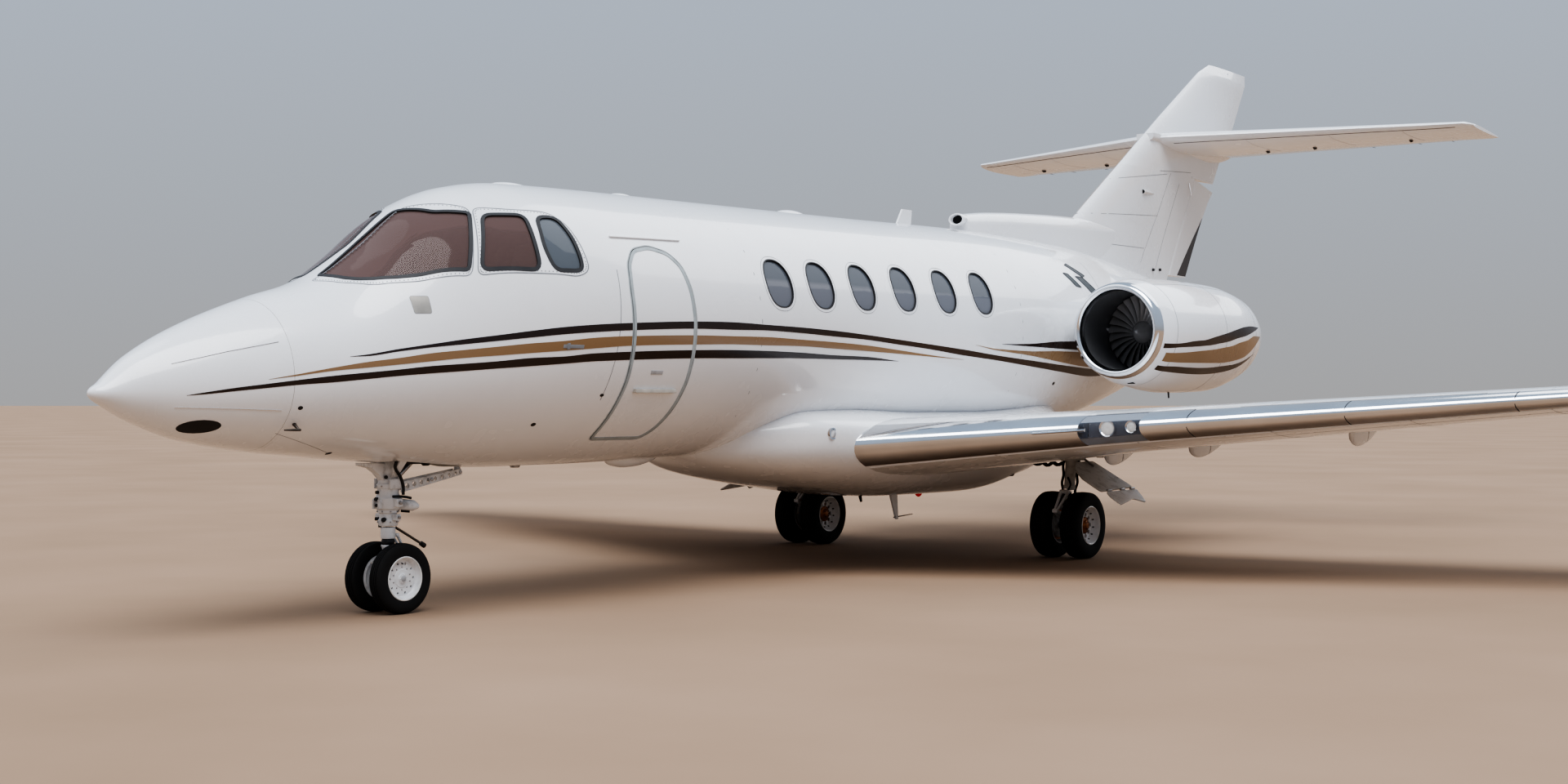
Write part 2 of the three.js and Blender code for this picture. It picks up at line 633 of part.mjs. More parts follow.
function tail() {
  const half = surface(TAILPLANE);
  const elevator = hinged(TAILPLANE, ELEVATOR);
  const whole = half.add(mirrored(half));
  const plane = cut(whole, [elevator.room, mirrored(elevator.room)]);
  piece('tailplane', plane, FINISH.paint);
  pair('elevator', elevator.swung, FINISH.paint);

  const fin = finBody();
  const [low, high] = [RUDDER.bottom, RUDDER.top];
  const hingeAt = (z) => line(RUDDER.hinge, [low, high], z);
  const thick = (z) => {
    const [leading, chord, depth] = faired(FIN, z);
    const u = (hingeAt(z) - leading) / chord;
    return 5 * depth * (0.2969 * Math.sqrt(u) - 0.126 * u - 0.3516 * u ** 2 + 0.2843 * u ** 3 - 0.1036 * u ** 4);
  };
  const nose = (from, to, grow) => bar(
    [0, at(hingeAt(from)), from], [0, at(hingeAt(to)), to], thick(from) * 0.94 + grow, thick(to) * 0.94 + grow,
  );
  // The rudder's top edge falls aft, because it rises as the rudder swings
  const area = (from, to, fall) => sidePrism(
    [[hingeAt(from), from], [16000, from], [16000, to - 2 * fall], [hingeAt(to), to - 0.4 * fall]], -300, 300,
  );
  const [z0, z1] = [low + MOVING_GAP, high - MOVING_GAP];
  const ends = RUDDER.pin.map((z) => [0, at(hingeAt(z)), z]);
  const room = join([area(low - 400, high, 0), nose(low - 20, high, NOSE_GAP), bore(...ends)]);
  piece('fin', cut(fin, [room, slotForTailplane(), tailClearance()]), FINISH.paint);
  piece('rudder', join([fin.intersect(area(z0, z1, RUDDER.fall)), nose(z0, z1, 0), pin(...ends)]), FINISH.paint);
}

// The fin stands on the tail and lets the tailplane's middle through.
const tailClearance = () => hullBody(9500, HULL_END, -GAP).add(dorsalBody(GAP));

function slotForTailplane() {
  const grown = TAILPLANE.map(([span, leading, chord, z, ratio, drop]) => (
    [span, leading - 4, chord + 8, z, ratio * 1.02 + 0.0008, drop]
  ));
  const half = surface(grown);
  return half.add(mirrored(half));
}

function dorsalRing(station, grow) {
  const [half, ridge] = faired(DORSAL, station);
  const foot = 2700;
  const round = Array.from({ length: 13 }, (_, i) => {
    const angle = (Math.PI * i) / 12;
    return new THREE.Vector3((half + grow) * Math.cos(angle), at(station), ridge - half + (half + grow) * Math.sin(angle));
  });
  return [...round, new THREE.Vector3(-half - grow, at(station), foot), new THREE.Vector3(half + grow, at(station), foot)];
}

function dorsalBody(grow = 0) {
  return loft([9100 - grow, 9300, 9500, 9900, 10300, 10700, 11100, 11500 + grow].map((s) => dorsalRing(s, grow)));
}

function dorsalIntake() {
  const mouth = bar([0, at(9090), SCOOP.z + 18], [0, at(9100 + SCOOP.depth), SCOOP.z + 18], SCOOP.radius, SCOOP.radius, 20);
  return cut(dorsalBody(), [hullBody(9000, 12000, -GAP), mouth]);
}

// Engines
function engineParts() {
  const place = (geometry) => solid(geometry.translate(ENGINE.x, -LENGTH / 2, ENGINE.z));
  const cowl = place(turned([...NACELLE, ...NACELLE_BORE, NACELLE[0]], ENGINE.sides));
  const lip = place(turned([...LIP, LIP[0]], ENGINE.sides));
  const core = place(turned(CORE, ENGINE.sides));
  const pylonOutline = [[800, PYLON.front + 120], [1080, PYLON.front], [1080, PYLON.rear - 250], [500, PYLON.rear]];
  const pylon = planPrism(pylonOutline, PYLON.z - PYLON.height / 2, PYLON.z + PYLON.height / 2);
  const nacelleRoom = place(turned([[9400, 0], ...NACELLE.map(([s, r]) => [s, r + GAP]), [11770, 0]], ENGINE.sides));
  pair('pylon', cut(pylon, [hullBody(9600, 12200, -GAP), nacelleRoom]), FINISH.paint);
  pair('nacelle', cowl, FINISH.paint);
  pair('intake_lip', lip, FINISH.polished);
  pair('engine_core', core, FINISH.dark);
  pair('fan', fan(), FINISH.steel);
}

function fan() {
  const { blades, radius, hub, chord, pitch, thick } = FAN;
  const spinner = [[-170, 0], [-125, 62], [-30, hub], [95, hub], [95, 0]];
  const parts = [solid(turned(spinner, 12))];
  const root = hub - 20;
  for (let i = 0; i < blades; i += 1) {
    const blade = new THREE.BoxGeometry(thick, chord, radius - root).rotateZ(-pitch);
    blade.translate(0, 30, (radius + root) / 2).rotateY((2 * Math.PI * i) / blades);
    parts.push(solid(blade));
  }
  return moved(join(parts), ENGINE.x, at(ENGINE.fan), ENGINE.z);
}

// Wheels, each made about its own axle along X
function tyre({ radius, width, rim }) {
  const [r, w, h] = [radius, width / 2, (radius - rim) / 2];
  const profile = [
    [-0.7 * w, rim + GAP], [-w, rim + 0.8 * h], [-0.86 * w, r - 0.28 * h], [-0.5 * w, r],
    [0.5 * w, r], [0.86 * w, r - 0.28 * h], [w, rim + 0.8 * h], [0.7 * w, rim + GAP],
  ];
  return solid(turned([...profile, profile[0]], WHEEL_SIDES).rotateZ(-Math.PI / 2));
}

function hub({ width, rim }, side) {
  const w = width / 2;
  const face = [
    [-0.62 * w, 0], [-0.62 * w, rim], [0.62 * w, rim], [0.25 * w, rim - 20], [0.25 * w, 0.34 * rim], [0.5 * w, 0],
  ];
  const disc = solid(turned(face, WHEEL_SIDES).rotateZ(-Math.PI / 2));
  return side > 0 ? disc : mirrored(disc);
}

const moved = (body, x, y, z) => solid(shape(body).translate(x, y, z));

function wheelGroup(x, station, radius) {
  const group = new THREE.Group();
  group.position.set(x, at(station), radius);
  aircraft.add(group);
  return group;
}

function wheels(gear, x, names, axle) {
  const group = wheelGroup(x, gear.station, gear.radius);
  const hubs = [-1, 1].map((side) => moved(hub(gear, side), side * gear.track, 0, 0));
  piece(names.hubs, join([...hubs, bar([-gear.track, 0, 0], [gear.track, 0, 0], axle, axle, AXLE_SIDES)]), FINISH.gear, group);
  piece(names.inner, moved(tyre(gear), -gear.track, 0, 0), FINISH.tyre, group);
  piece(names.outer, moved(tyre(gear), gear.track, 0, 0), FINISH.tyre, group);
}

// A leg's steered or sprung lower half: piston, axle boss and torque link, about the axle
function lowerLeg(piston, height, linkAft, boss, axle) {
  const [y, reach] = [linkAft * 60, linkAft * 190];
  return cut(join([
    bar([0, 0, 0], [0, 0, height], piston),
    bar([-boss, 0, 0], [boss, 0, 0], 52),
    bar([0, y * 0.5, 30], [0, reach, 150], 16, 16, 6),
    bar([0, reach, 158], [0, y * 0.5, height - 25], 16, 16, 6),
  ]), [bore([-boss, 0, 0], [boss, 0, 0], axle, AXLE_SIDES)]);
}

// The left nose door, closed flush with the belly ahead of the leg
function noseDoor() {
  const { front, doorEnd, half, wall } = NOSE_BAY;
  const start = front + wall + GAP;
  return layer(start, doorEnd, 0, wall).intersect(block([GAP / 2, start, 850], [half - wall - GAP, doorEnd, 1200]));
}

function noseGear() {
  const { station, radius } = NOSE_GEAR;
  wheels(NOSE_GEAR, 0, { hubs: 'nose_wheel_hubs', inner: 'nose_tyre_right', outer: 'nose_tyre_left' }, 24);
  const y = at(station);
  const { foot, top, piston } = NOSE_STRUT;
  const fork = lowerLeg(piston, foot - radius - GAP, 1, 44, 24);
  piece('nose_steering_fork', moved(fork, 0, y, radius), FINISH.gear);
  const { front, rear, half, roof, wall } = NOSE_BAY;
  const leg = join([
    bar([0, y, foot], [0, y, top], NOSE_STRUT.radius, NOSE_STRUT.radius, 12),
    bar([0, y, foot], [0, y, foot + 70], 78, 78, 12),
    bar([0, y, foot + 250], [0, y, top], 52, 96, 12),
    bar([-half + wall + GAP, y, 1060], [half - wall - GAP, y, 1060], 36),
    bar([0, y, foot + 190], [0, at(rear - wall - GAP) - 20, 1030], 22, 22, 8),
    block([-90, rear - wall - GAP - 60, 980], [90, rear - wall - GAP, 1080]),
  ]);
  piece('nose_leg', leg, FINISH.gear);
  const bayOuter = block([-half, front, 950], [half, rear, roof]);
  const bayInner = block([-half + wall, front + wall, 900], [half - wall, rear - wall, roof - wall]);
  const belly = hullBody(1500, 2900);
  piece('nose_wheel_bay', bayOuter.subtract(bayInner).intersect(belly), FINISH.trim);
  piece('nose_gear_door_left', noseDoor(), FINISH.paint);
  piece('nose_gear_door_right', mirrored(noseDoor()), FINISH.paint);
}

function mainGear(side, label) {
  const { station, x, radius } = MAIN_GEAR;
  const name = (base) => `${base}_${label}`;
  const inner = side > 0 ? 'inner' : 'outer';
  const outer = side > 0 ? 'outer' : 'inner';
  wheels(MAIN_GEAR, side * x, {
    hubs: name('main_wheel_hubs'), inner: name(`main_tyre_${inner}`), outer: name(`main_tyre_${outer}`),
  }, 30);
  const y = at(station);
  const roof = middleLine(WING, x, station) - 30 - GAP;
  const sliding = lowerLeg(MAIN_STRUT.piston, MAIN_STRUT.foot - radius + 40, -1, 50, 30);
  const leg = join([
    moved(sliding, 0, 0, radius),
    bar([0, 0, MAIN_STRUT.foot], [0, 0, roof - 20], MAIN_STRUT.radius, 66),
    bar([0, 0, MAIN_STRUT.foot], [0, 0, MAIN_STRUT.foot + 40], 70),
    bar([0, -110, roof - 30], [0, 110, roof - 30], 30, 30, 8),
    bar([0, 0, MAIN_STRUT.foot + 100], [-120, 60, roof - 32], 26, 26, 8),
    solid(new THREE.BoxGeometry(220, 220, 20).translate(0, 0, roof - 10)),
  ]);
  const placed = moved(leg, x, y, 0);
  piece(name('main_leg'), side > 0 ? placed : mirrored(placed), FINISH.gear);
}

function mainDoors() {
  const { x, station } = MAIN_GEAR;
  const under = middleLine(WING, x + 200, station);
  const outline = [[x + 135, under], [x + 155, under], [x + 765, 512], [x + 745, 497]];
  return frontPrism(outline, station - 472, station + 178).subtract(moved(surface(WING), 0, 0, -GAP));
}

// Blade antennas, standing on the skin: stations, root inside the skin, tip
function antennas() {
  const blade = ([front, rear], root, tip, body) => cut(
    sidePrism([[front, root], [rear, root], [rear + 20, tip], [front + 110, tip]], -9, 9), [body],
  );
  const top = faired(HULL, 8100)[2];
  piece('top_blade_antenna', blade([8020, 8260], top - 30, top + 140, hullBody(CABIN_END - 4000, CABIN_END, -GAP)),
    FINISH.paint);
  const bottom = faired(FAIRING, 7950)[3];
  piece('belly_blade_antenna', blade([7920, 8040], bottom + 30, bottom - 235, fairingBody(GAP)), FINISH.paint);
}

piece('radome', radome(), FINISH.paint);
piece('forward_fuselage', forwardFuselage(), FINISH.paint);
piece('cabin_fuselage', cabinFuselage(), FINISH.paint);
piece('tail_fuselage', tailFuselage(), FINISH.paint);
piece('cockpit_glazing', cockpitGlazing(), FINISH.glass);
pair('cabin_glazing', cabinGlazing(), FINISH.glass);
piece('cabin_door', cabinDoor(), FINISH.paint);
piece('rear_bulkhead', bulkhead(BULKHEAD.rear), FINISH.trim);
piece('cabin_floor', cabinFloor(), FINISH.trim);
piece('instrument_panel', instrumentPanel(), FINISH.dark);
piece('pilot_seat_left', seat(380, 2980, -1), FINISH.leather);
piece('pilot_seat_right', seat(-380, 2980, -1), FINISH.leather);
piece('cabin_seats_left', cabinSeats(480), FINISH.leather);
piece('cabin_seats_right', cabinSeats(-480), FINISH.leather);
piece('belly_fairing', bellyFairing(), FINISH.paint);
wings();
piece('dorsal_intake', dorsalIntake(), FINISH.paint);
tail();
engineParts();
noseGear();
mainGear(1, 'left');
mainGear(-1, 'right');
pair('main_gear_door', mainDoors(), FINISH.paint);
antennas();

export default aircraft;
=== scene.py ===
"""A mid-size business jet parked on its landing gear.

Metres, +Z up, nose towards -Y, +X to the aircraft's own left. Lengths along the
aircraft are stations: the distance aft of the nose tip.
"""
import functools
import math

import bmesh
import bpy
from mathutils import Matrix, Vector


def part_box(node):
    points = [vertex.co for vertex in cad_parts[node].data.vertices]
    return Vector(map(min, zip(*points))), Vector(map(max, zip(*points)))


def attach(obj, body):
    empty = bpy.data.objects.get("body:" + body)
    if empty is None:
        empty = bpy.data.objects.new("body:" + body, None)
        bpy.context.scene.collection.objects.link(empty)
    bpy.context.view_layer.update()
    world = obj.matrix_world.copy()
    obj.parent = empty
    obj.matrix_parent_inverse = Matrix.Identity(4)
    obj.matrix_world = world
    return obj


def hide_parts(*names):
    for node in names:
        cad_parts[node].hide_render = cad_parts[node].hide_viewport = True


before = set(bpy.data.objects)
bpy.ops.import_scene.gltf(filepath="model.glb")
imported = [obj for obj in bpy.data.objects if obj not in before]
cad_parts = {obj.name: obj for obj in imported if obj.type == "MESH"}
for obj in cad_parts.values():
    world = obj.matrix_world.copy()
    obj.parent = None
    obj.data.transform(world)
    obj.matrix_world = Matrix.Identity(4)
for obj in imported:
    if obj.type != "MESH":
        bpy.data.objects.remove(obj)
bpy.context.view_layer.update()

# Overall sizes
LENGTH = 15.6
FIN_TOP = 5.28
SIDES = [("left", 1), ("right", -1)]
MOVING_GAP = 0.008

# Fuselage: station, half width, height of the widest line, top, bottom
HULL = [
    (0.06, 0.080, 1.410, 1.465, 1.350),
    (0.25, 0.190, 1.420, 1.627, 1.253),
    (0.60, 0.350, 1.440, 1.813, 1.133),
    (1.10, 0.510, 1.490, 2.000, 1.055),
    (1.45, 0.605, 1.530, 2.106, 1.022),
    (1.80, 0.690, 1.580, 2.321, 0.988),
    (2.20, 0.775, 1.650, 2.620, 0.961),
    (2.60, 0.850, 1.730, 2.784, 0.930),
    (3.00, 0.910, 1.810, 2.848, 0.918),
    (3.60, 0.955, 1.875, 2.867, 0.918),
    (5.00, 0.965, 1.905, 2.888, 0.945),
    (7.00, 0.965, 1.945, 2.920, 0.980),
    (9.00, 0.965, 1.985, 2.955, 1.020),
    (10.5, 0.900, 2.040, 2.930, 1.160),
    (12.0, 0.660, 2.130, 2.800, 1.480),
    (13.5, 0.360, 2.260, 2.600, 1.900),
    (14.6, 0.130, 2.340, 2.460, 2.200),
]
NOSE_TIP = 0.06             # the nose is rounded ahead of this station
RADOME_END = 1.03
HULL_END = 14.6
TAIL_DOME = 0.09
WALL = 0.06
INSIDE = (1.09, 13.4)
GIRTH = 0.96                # metres round the skin for each radian, near enough everywhere
HULL_ANGLES = 80
# Station spacing of the skin: from, to, step
HULL_STEPS = [(1.03, 4.4, 0.05), (4.4, 9.0, 0.1), (9.0, 14.6, 0.08)]
COCKPIT_SINK = 0.008        # cockpit glass below the skin
CABIN_SINK = 0.012          # cabin glass below the skin
PANE_THICK = 0.008
PANE_EDGE = 0.006           # how far the glass reaches under the seals

# Cockpit panes on the left: corners as width, station, height, and the corner radius
COCKPIT_PANES = [
    ([(0.071, 1.531, 2.141), (0.171, 1.554, 2.129), (0.264, 1.584, 2.119), (0.332, 1.628, 2.114),
      (0.395, 1.696, 2.116), (0.472, 1.809, 2.129), (0.546, 1.946, 2.147), (0.661, 2.246, 2.189),
      (0.439, 2.455, 2.580), (0.301, 2.270, 2.581), (0.058, 2.150, 2.588), (0.032, 1.862, 2.365)], 0.035),
    ([(0.686, 2.324, 2.192), (0.792, 2.751, 2.211), (0.703, 2.782, 2.402), (0.565, 2.821, 2.587),
      (0.483, 2.519, 2.569)], 0.07),
    ([(0.815, 2.859, 2.212), (0.847, 3.077, 2.219), (0.822, 3.104, 2.287), (0.722, 3.104, 2.462),
      (0.611, 3.065, 2.589), (0.593, 2.899, 2.579), (0.737, 2.833, 2.366)], 0.07),
]
RIVETS = {"inset": 0.016, "pitch": 0.034, "radius": 0.0038, "height": 0.0012}
# Painted frames round the panes: the windscreen's own, and one that both side panes share
COCKPIT_FRAMES = [
    [(0.090, 1.452, 2.100), (0.278, 1.545, 2.080), (0.425, 1.671, 2.074), (0.566, 1.927, 2.106),
     (0.682, 2.251, 2.148), (0.408, 2.477, 2.613), (0.087, 2.198, 2.613)],
    [(0.692, 2.289, 2.155), (0.856, 3.040, 2.180), (0.852, 3.150, 2.229), (0.771, 3.146, 2.396),
     (0.659, 3.115, 2.545), (0.577, 3.030, 2.616), (0.514, 2.763, 2.618), (0.416, 2.495, 2.613)],
]

# Cabin windows: station and height of each centre
CABIN_WINDOWS = [(5.13, 2.238), (5.655, 2.247), (6.21, 2.258), (6.795, 2.272), (7.41, 2.280), (8.00, 2.292)]
CABIN_WINDOW = {"width": 0.31, "height": 0.36}

# Cabin door, on the left side: outline as station, height
DOOR = [
    (3.430, 1.100), (3.960, 1.100), (4.040, 1.170), (4.085, 1.300), (4.112, 1.500), (4.115, 1.950),
    (4.100, 2.150), (4.060, 2.310), (3.960, 2.400), (3.780, 2.435), (3.600, 2.400), (3.500, 2.290),
    (3.468, 2.120), (3.468, 1.500), (3.445, 1.250),
]

TREADS = (1.42, 1.69, 1.96)     # heights of the door's steps

# Stripes on each side of the fuselage: station, low edge, high edge
STRIPES = {
    "dark": [
        [(1.369, 1.630, 1.631), (1.47, 1.634, 1.643), (1.68, 1.666, 1.681), (1.90, 1.695, 1.715),
         (2.13, 1.719, 1.750), (2.36, 1.744, 1.780), (2.60, 1.770, 1.812), (2.86, 1.797, 1.844),
         (3.13, 1.819, 1.868), (3.42, 1.838, 1.887), (4.18, 1.871, 1.922), (4.54, 1.875, 1.928),
         (4.92, 1.881, 1.922), (5.32, 1.874, 1.916), (5.74, 1.860, 1.904), (6.18, 1.846, 1.884),
         (6.64, 1.819, 1.858), (7.13, 1.790, 1.830), (7.64, 1.752, 1.800), (8.19, 1.720, 1.762),
         (8.78, 1.679, 1.729), (9.42, 1.635, 1.695), (10.1, 1.600, 1.668), (10.9, 1.640, 1.642)],
        [(0.440, 1.397, 1.398), (0.52, 1.403, 1.413), (0.69, 1.422, 1.441), (0.87, 1.441, 1.465),
         (1.06, 1.461, 1.490), (1.26, 1.476, 1.515), (1.47, 1.497, 1.536), (1.68, 1.518, 1.557),
         (1.89, 1.535, 1.580), (2.12, 1.552, 1.597), (2.36, 1.570, 1.616), (2.61, 1.588, 1.640),
         (2.87, 1.607, 1.654), (3.14, 1.627, 1.680), (4.20, 1.666, 1.723), (4.56, 1.672, 1.730),
         (4.94, 1.679, 1.732), (5.35, 1.685, 1.728), (5.77, 1.686, 1.717), (6.21, 1.687, 1.713),
         (6.685, 1.685, 1.686)],
        [(8.265, 1.859, 1.860), (8.73, 1.852, 1.873), (9.33, 1.843, 1.910), (9.90, 1.840, 1.920),
         (10.5, 1.850, 1.915), (11.2, 1.880, 1.882)],
    ],
    "tan": [
        [(0.88, 1.491, 1.492), (1.04, 1.512, 1.521), (1.26, 1.544, 1.563), (1.47, 1.565, 1.599),
         (1.68, 1.587, 1.627), (1.90, 1.610, 1.660), (2.12, 1.633, 1.683), (2.36, 1.652, 1.708),
         (2.60, 1.671, 1.733), (2.86, 1.691, 1.754), (3.13, 1.712, 1.782), (3.43, 1.735, 1.800),
         (4.18, 1.762, 1.825), (4.55, 1.771, 1.829), (4.93, 1.773, 1.833), (5.33, 1.776, 1.825),
         (5.74, 1.767, 1.817), (6.19, 1.757, 1.802), (6.65, 1.745, 1.775), (7.15, 1.730, 1.743),
         (7.67, 1.715, 1.716)],
        [(7.832, 1.842, 1.843), (8.18, 1.804, 1.818), (8.75, 1.772, 1.809), (9.35, 1.724, 1.821),
         (9.90, 1.690, 1.820), (10.5, 1.680, 1.810), (11.2, 1.745, 1.747)],
    ],
}
# Stripes on each nacelle: station, low and high angle, in degrees up from its outboard line
NACELLE_STRIPES = {
    "dark": [
        [(9.44, -21.6, -15.9), (9.69, -18.5, -14.1), (9.98, -16.3, -10.2), (10.15, -14.9, -8.8),
         (10.31, -13.5, -5.7), (10.48, -11.3, -2.6), (10.66, -9.0, 0.7), (10.86, -5.0, 4.9),
         (11.06, -1.7, 8.5), (11.3, 4.0, 10.5), (11.5, 10.0, 10.6)],
        [(9.49, -49.4, -43.1), (9.77, -48.3, -40.5), (10.07, -47.4, -39.6), (10.40, -46.6, -38.6),
         (10.74, -44.0, -36.0), (10.90, -41.6, -34.8), (11.15, -34.5, -30.0), (11.4, -24.0, -23.6)],
    ],
    "tan": [
        [(9.50, -36.8, -26.2), (9.78, -35.4, -23.9), (10.08, -33.8, -20.7), (10.40, -33.0, -17.9),
         (10.58, -32.8, -15.7), (10.76, -31.6, -13.5), (10.93, -29.4, -9.5), (11.12, -25.6, -6.3),
         (11.34, -15.8, -0.9), (11.55, -2.0, -1.0)],
    ],
}
STRIPE_LIFT = 0.0015
DOOR_STRIPES = (3.474, 4.108)   # first and last station of the stripes on the door
DOOR_GAP = 0.012            # bare skin between those and the stripes beside the door

# Wing: span, leading edge station, chord, leading edge height, thickness ratio, drop of the trailing edge
WING = [
    (0.56, 5.750, 3.750, 0.990, 0.135, 0.075),
    (1.00, 5.945, 3.475, 1.020, 0.135, 0.070),
    (2.60, 6.657, 2.700, 1.145, 0.125, 0.045),
    (7.56, 8.864, 1.120, 1.532, 0.110, 0.005),
    (7.76, 8.990, 0.960, 1.547, 0.090, 0.002),
    (7.83, 9.180, 0.660, 1.552, 0.050, 0.000),
]
WING_EDGE = 0.07            # share of the chord that is polished leading edge
# Hinged surfaces: spans of both ends and stations of the hinge there; the cove is how far ahead of it the
# fixed skin stops
FLAP = {"spans": (1.075, 4.72), "hinge": (8.800, 9.105), "end": 0.03, "cove": 0.004, "set_back": 0.03}
AILERON = {"spans": (4.72, 7.38), "hinge": (9.105, 9.640), "cove": 0.045}
NOSE_ROUND = 0.94           # the round front of a hinged surface, as a share of its half depth

# Belly fairing: station, half width, height of the widest line, top, bottom
FAIRING = [
    (4.95, 0.120, 1.080, 1.180, 0.960),
    (5.20, 0.560, 1.090, 1.230, 0.860),
    (5.70, 0.960, 1.110, 1.330, 0.745),
    (6.30, 1.060, 1.090, 1.330, 0.655),
    (7.30, 1.080, 1.070, 1.300, 0.552),
    (8.30, 1.060, 1.060, 1.300, 0.545),
    (8.90, 0.980, 1.090, 1.330, 0.620),
    (9.60, 0.760, 1.150, 1.400, 0.720),
    (10.3, 0.300, 1.220, 1.400, 0.960),
]
FAIRING_POWER = 0.72

# Fin: height, leading edge station, chord, thickness
FIN = [
    (2.56, 10.400, 3.400, 0.330),
    (3.00, 10.950, 3.120, 0.250),
    (3.25, 11.290, 2.940, 0.225),
    (4.15, 12.690, 2.150, 0.190),
    (4.55, 13.310, 1.880, 0.170),
    (5.16, 14.290, 1.290, 0.120),
    (5.25, 14.500, 1.080, 0.060),
]
RUDDER = {"heights": (2.76, 3.90), "hinge": (13.40, 14.10), "cove": 0.02, "fall": 0.05}

# Tailplane: span, leading edge station, chord, leading edge height, thickness ratio, drop
TAILPLANE = [
    (0.00, 13.040, 1.930, 4.262, 0.10, 0.030),
    (0.08, 13.075, 1.900, 4.264, 0.10, 0.030),
    (2.74, 14.270, 1.130, 4.310, 0.09, 0.035),
    (2.98, 14.370, 1.090, 4.316, 0.08, 0.040),
    (3.05, 14.520, 0.900, 4.316, 0.04, 0.040),
]
ELEVATOR = {"spans": (0.17, 2.70), "hinge": (14.33, 14.96), "cove": 0.03}

# Dorsal fairing ahead of the fin: station, half width, ridge height
DORSAL = [(9.10, 0.105, 3.115), (9.50, 0.125, 3.160), (10.3, 0.140, 3.212), (11.1, 0.150, 3.245),
          (11.6, 0.140, 3.252), (12.3, 0.100, 3.252), (13.0, 0.045, 3.250)]
DORSAL_FOOT = 2.7
SCOOP = {"radius": 0.056, "spread": 1.5, "z": 3.062, "station": 9.035}
# The scoop's ring: distance aft, share of the radius
SCOOP_RING = [(0.20, 0.98), (0.05, 1.0), (0.016, 1.02), (0.003, 0.97), (0.0, 0.90), (0.004, 0.80),
              (0.020, 0.74), (0.06, 0.72), (0.20, 0.72), (0.20, 0.98)]

# Engines
ENGINE = {"x": 1.5, "z": 2.0, "fan": 9.90}
# Nacelle: station, radius, and how much lower its underside reaches
NACELLE = [(9.41, 0.440, 0.0), (9.60, 0.474, 0.022), (10.3, 0.500, 0.058), (11.0, 0.490, 0.055),
           (11.5, 0.430, 0.022), (11.76, 0.345, 0.0)]
# Inside the nacelle: station, radius
NACELLE_BORE = [(11.76, 0.322), (11.50, 0.376), (10.9, 0.376), (9.75, 0.376), (9.41, 0.365)]
INTAKE_DUCT = [(9.41, 0.352), (9.75, 0.363), (11.48, 0.363), (11.48, 0.375), (9.75, 0.375), (9.41, 0.364)]
INTAKE_LIP = [(9.409, 0.352), (9.375, 0.355), (9.345, 0.361), (9.327, 0.370), (9.320, 0.382), (9.319, 0.392),
              (9.322, 0.402), (9.333, 0.416), (9.355, 0.427), (9.38, 0.434), (9.409, 0.4395)]
# Parts on the engine's shaft: distance aft of the fan, radius
SPINNER = [(-0.170, 0.0), (-0.166, 0.010), (-0.150, 0.024), (-0.110, 0.052), (-0.060, 0.084),
           (-0.030, 0.100), (0.010, 0.112), (0.080, 0.112), (0.080, 0.0)]
VANE_HUB = [(0.125, 0.0), (0.125, 0.150), (0.22, 0.175), (0.24, 0.362), (0.26, 0.362), (0.26, 0.0)]
NOZZLE = [(1.20, 0.300), (1.50, 0.262), (1.70, 0.240), (1.70, 0.234), (1.40, 0.240), (1.20, 0.280),
          (1.20, 0.300)]
PLUG = [(1.20, 0.14), (1.40, 0.135), (1.55, 0.10), (1.66, 0.055), (1.715, 0.016), (1.72, 0.0)]
SPINNER_SCREWS = {"count": 8, "ring": 0.094, "aft": -0.042, "lean": -0.9, "radius": 0.005}
# Guide vanes behind the fan: their ends from the shaft, and the places of their edges aft of the fan
VANES = {"count": 30, "reach": (0.16, 0.362), "edges": (0.14, 0.20), "lean": 0.012, "thick": 0.004}
FAN_BLADES = 26
# A fan blade: values at its root and tip, and its section as share of the chord, half thickness
BLADE = {
    "reach": (0.100, 0.352), "pitch": (28, 62), "chord": (0.085, 0.107), "lean": 0.014, "bow": 0.010,
    "shape": [(-0.5, 0.0008), (-0.25, 0.0028), (0.0, 0.0036), (0.25, 0.0026), (0.5, 0.0007)],
}
PYLON_HEIGHT = 2.05
PYLON_RATIO = 0.18          # thickness of the foil that its section follows
# Pylon: width from the middle, front station, rear station, half thickness
PYLON = [(0.62, 9.98, 11.62, 0.075), (0.80, 9.93, 11.56, 0.072), (1.00, 9.86, 11.46, 0.070),
         (1.14, 9.84, 11.36, 0.074)]

# Landing gear: the wheels' sizes, and heights on the legs
NOSE_GEAR = {"station": 2.16, "radius": 0.2275, "width": 0.108, "rim": 0.143, "seat": 0.85, "track": 0.118}
NOSE_STRUT = {"foot": 0.560}
MAIN_GEAR = {"station": 8.642, "x": 1.395, "radius": 0.2875, "width": 0.178, "rim": 0.167, "seat": 0.90,
             "track": 0.146}
MAIN_STRUT = {"foot": 0.590, "roof": 1.000, "bend": 0.450}
DOOR_PLANE = [(1.535, 0.850), (2.155, 0.506)]    # the hanging main gear door: width and height of its ends
# The main gear doors' outlines in that plane: width, station
MAIN_DOOR = [(1.552, 8.500), (1.552, 8.810), (1.935, 8.810), (1.962, 8.185), (1.780, 8.200), (1.650, 8.310)]
LOWER_DOOR = [(1.972, 8.260), (2.040, 8.200), (2.150, 8.180), (2.110, 8.400), (2.086, 8.520), (2.150, 8.640),
              (2.060, 8.730), (1.972, 8.810)]
HINGE_LINE = 1.965
DOOR_HINGES = (8.32, 8.56, 8.74)
NOSE_BAY = {"half": 0.153, "start": 1.732, "door_end": 2.070, "end": 2.640}
LANDING_LIGHT = (2.57, 2.99)    # spans of the lamp window in the wing's leading edge
LANDING_LAMPS = [(0.36, 0.058), (0.75, 0.042)]      # share of the window, radius
TIP_LAMP_SPANS = (7.66, 7.72, 7.77)
BEACONS = {"below": 8.40, "above": 15.03}       # stations
ROUND_LAMP = 5.728          # station of the lamps on the belly fairing's sides
